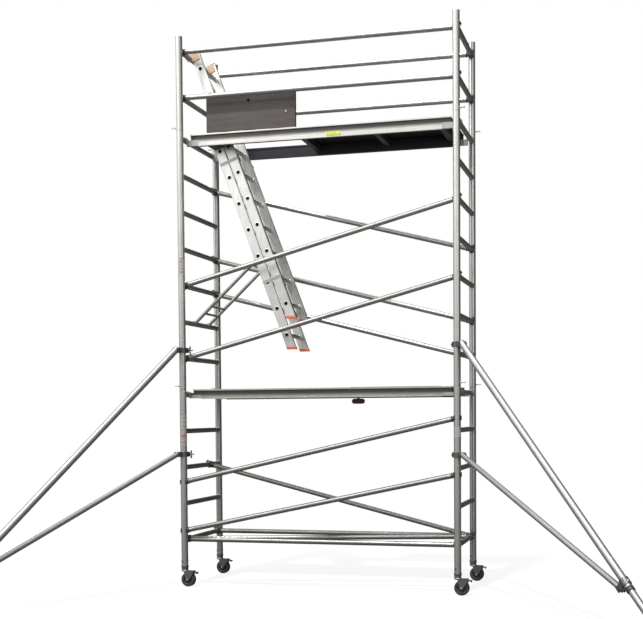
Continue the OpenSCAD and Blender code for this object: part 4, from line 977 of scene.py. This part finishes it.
# ---------------------------------------------------------------- stage, camera and light
def floor_material():
    m = Mat("floor", rough=0.75, spec=0.2)
    tone = m.noise(0.8, detail=5)
    pale = m.mix(tone, (0.86, 0.86, 0.86), (0.90, 0.90, 0.90))
    path = m.nodes.new("ShaderNodeLightPath")
    seen = m.mix(path.outputs["Is Camera Ray"], (0.10, 0.099, 0.096), pale)
    m.set("Base Color", seen)
    m.bump(m.noise(90, detail=3), 0.05, 0.0005)
    x, y, _ = m.xyz()
    away = m.math("SQRT", m.math("ADD", m.math("MULTIPLY", x, x), m.math("MULTIPLY", y, y)))
    glow = m.nodes.new("ShaderNodeEmission")
    fade = m.nodes.new("ShaderNodeMixShader")
    near = m.ramp(m.math("DIVIDE", away, 12.0), (0.10, 0.82), (0.50, 1.0))
    m.links.new(m.math("MULTIPLY", near, path.outputs["Is Camera Ray"]), fade.inputs[0])
    m.links.new(m.bsdf.outputs[0], fade.inputs[1])
    m.links.new(glow.outputs[0], fade.inputs[2])
    m.links.new(fade.outputs[0], m.nodes["Material Output"].inputs["Surface"])
    return m.mat


bpy.ops.mesh.primitive_plane_add(size=80, location=(0, 0, -0.0005))
floor = bpy.context.object
floor.name = "floor"
floor.data.materials.append(floor_material())

world = bpy.data.worlds.new("studio")
bpy.context.scene.world = world
world.use_nodes = True
wn, wl = world.node_tree.nodes, world.node_tree.links
wn.clear()
direction = wn.new("ShaderNodeTexCoord").outputs["Generated"]
dot = wn.new("ShaderNodeVectorMath")
dot.operation = "DOT_PRODUCT"
wl.new(direction, dot.inputs[0])
dot.inputs[1].default_value = Vector((-0.42, -0.52, 0.74)).normalized()
span = wn.new("ShaderNodeMapRange")
span.inputs["From Min"].default_value = -1
wl.new(dot.outputs["Value"], span.inputs["Value"])
sky = wn.new("ShaderNodeValToRGB")
for mark, (at, v) in zip(
        [sky.color_ramp.elements[0], sky.color_ramp.elements[1], sky.color_ramp.elements.new(0.5),
         sky.color_ramp.elements.new(0.7)],
        ((0.30, 0.02), (0.95, 0.64), (0.50, 0.13), (0.72, 0.55))):
    mark.position = at
    mark.color = (v, v * 0.99, v * 0.955, 1)
wl.new(span.outputs[0], sky.inputs[0])
lit, seen = wn.new("ShaderNodeBackground"), wn.new("ShaderNodeBackground")
wl.new(sky.outputs[0], lit.inputs["Color"])
lit.inputs["Strength"].default_value = 1.25
seen.inputs["Color"].default_value = (1, 1, 1, 1)
seen.inputs["Strength"].default_value = 1.0
pick = wn.new("ShaderNodeMixShader")
wl.new(wn.new("ShaderNodeLightPath").outputs["Is Camera Ray"], pick.inputs[0])
wl.new(lit.outputs[0], pick.inputs[1])
wl.new(seen.outputs[0], pick.inputs[2])
wl.new(pick.outputs[0], wn.new("ShaderNodeOutputWorld").inputs[0])


def area(name, place, target, size, power):
    """A rectangular lamp at a place, turned to a target."""
    lamp = bpy.data.lights.new(name, "AREA")
    lamp.shape = "RECTANGLE"
    lamp.size, lamp.size_y = size
    lamp.energy = power
    obj = bpy.data.objects.new(name, lamp)
    obj.matrix_world = aimed(place, Vector(place) - Vector(target))
    bpy.context.collection.objects.link(obj)


area("key", (-4.5, -5.5, 7.5), (0, 0, 2.2), (3.5, 3.5), 150)
area("fill", (5.5, -5.0, 3.0), (0, 0, 2.0), (3.0, 4.0), 40)
area("top", (0, 1.0, 8.5), (0, 0, 2.0), (5.0, 3.0), 90)
sun = bpy.data.objects.new("sun", bpy.data.lights.new("sun", "SUN"))
sun.data.energy = 2.6
sun.data.angle = math.radians(2.5)
sun.matrix_world = aimed((0, 0, 9), (-0.10, -0.50, 0.95))
bpy.context.collection.objects.link(sun)

YAW, PITCH_DOWN, ROLL = math.radians(15.03), math.radians(-2.17), math.radians(-0.41)
forward = Vector((-math.sin(YAW) * math.cos(PITCH_DOWN), math.cos(YAW) * math.cos(PITCH_DOWN),
                  math.sin(PITCH_DOWN)))
level = Vector((math.cos(YAW), math.sin(YAW), 0))
above = level.cross(forward)
right = level * math.cos(ROLL) + above * math.sin(ROLL)
up = right.cross(forward)
lens = bpy.data.cameras.new("camera")
lens.sensor_width = 36
lens.lens = 66.2
lens.shift_x = -0.0190
EYE = (2.422, -8.903, 1.334)
camera = bpy.data.objects.new("camera", lens)
camera.matrix_world = Matrix.Translation(EYE) @ Matrix(
    (right, up, -forward)).transposed().to_4x4()
bpy.context.collection.objects.link(camera)
bpy.context.scene.camera = camera
# The lens rises in the main view only: the rotation mode reads 1 here and 0 once a view has moved it.
lens["rise"] = 0.2306
rise = lens.driver_add("shift_y").driver
rise.type = "MIN"
for owner, path, kind in ((lens, '["rise"]', "CAMERA"), (camera, "rotation_mode", "OBJECT")):
    share = rise.variables.new()
    share.targets[0].id_type = kind
    share.targets[0].id = owner
    share.targets[0].data_path = path
bpy.context.scene.view_settings.view_transform = "Standard"
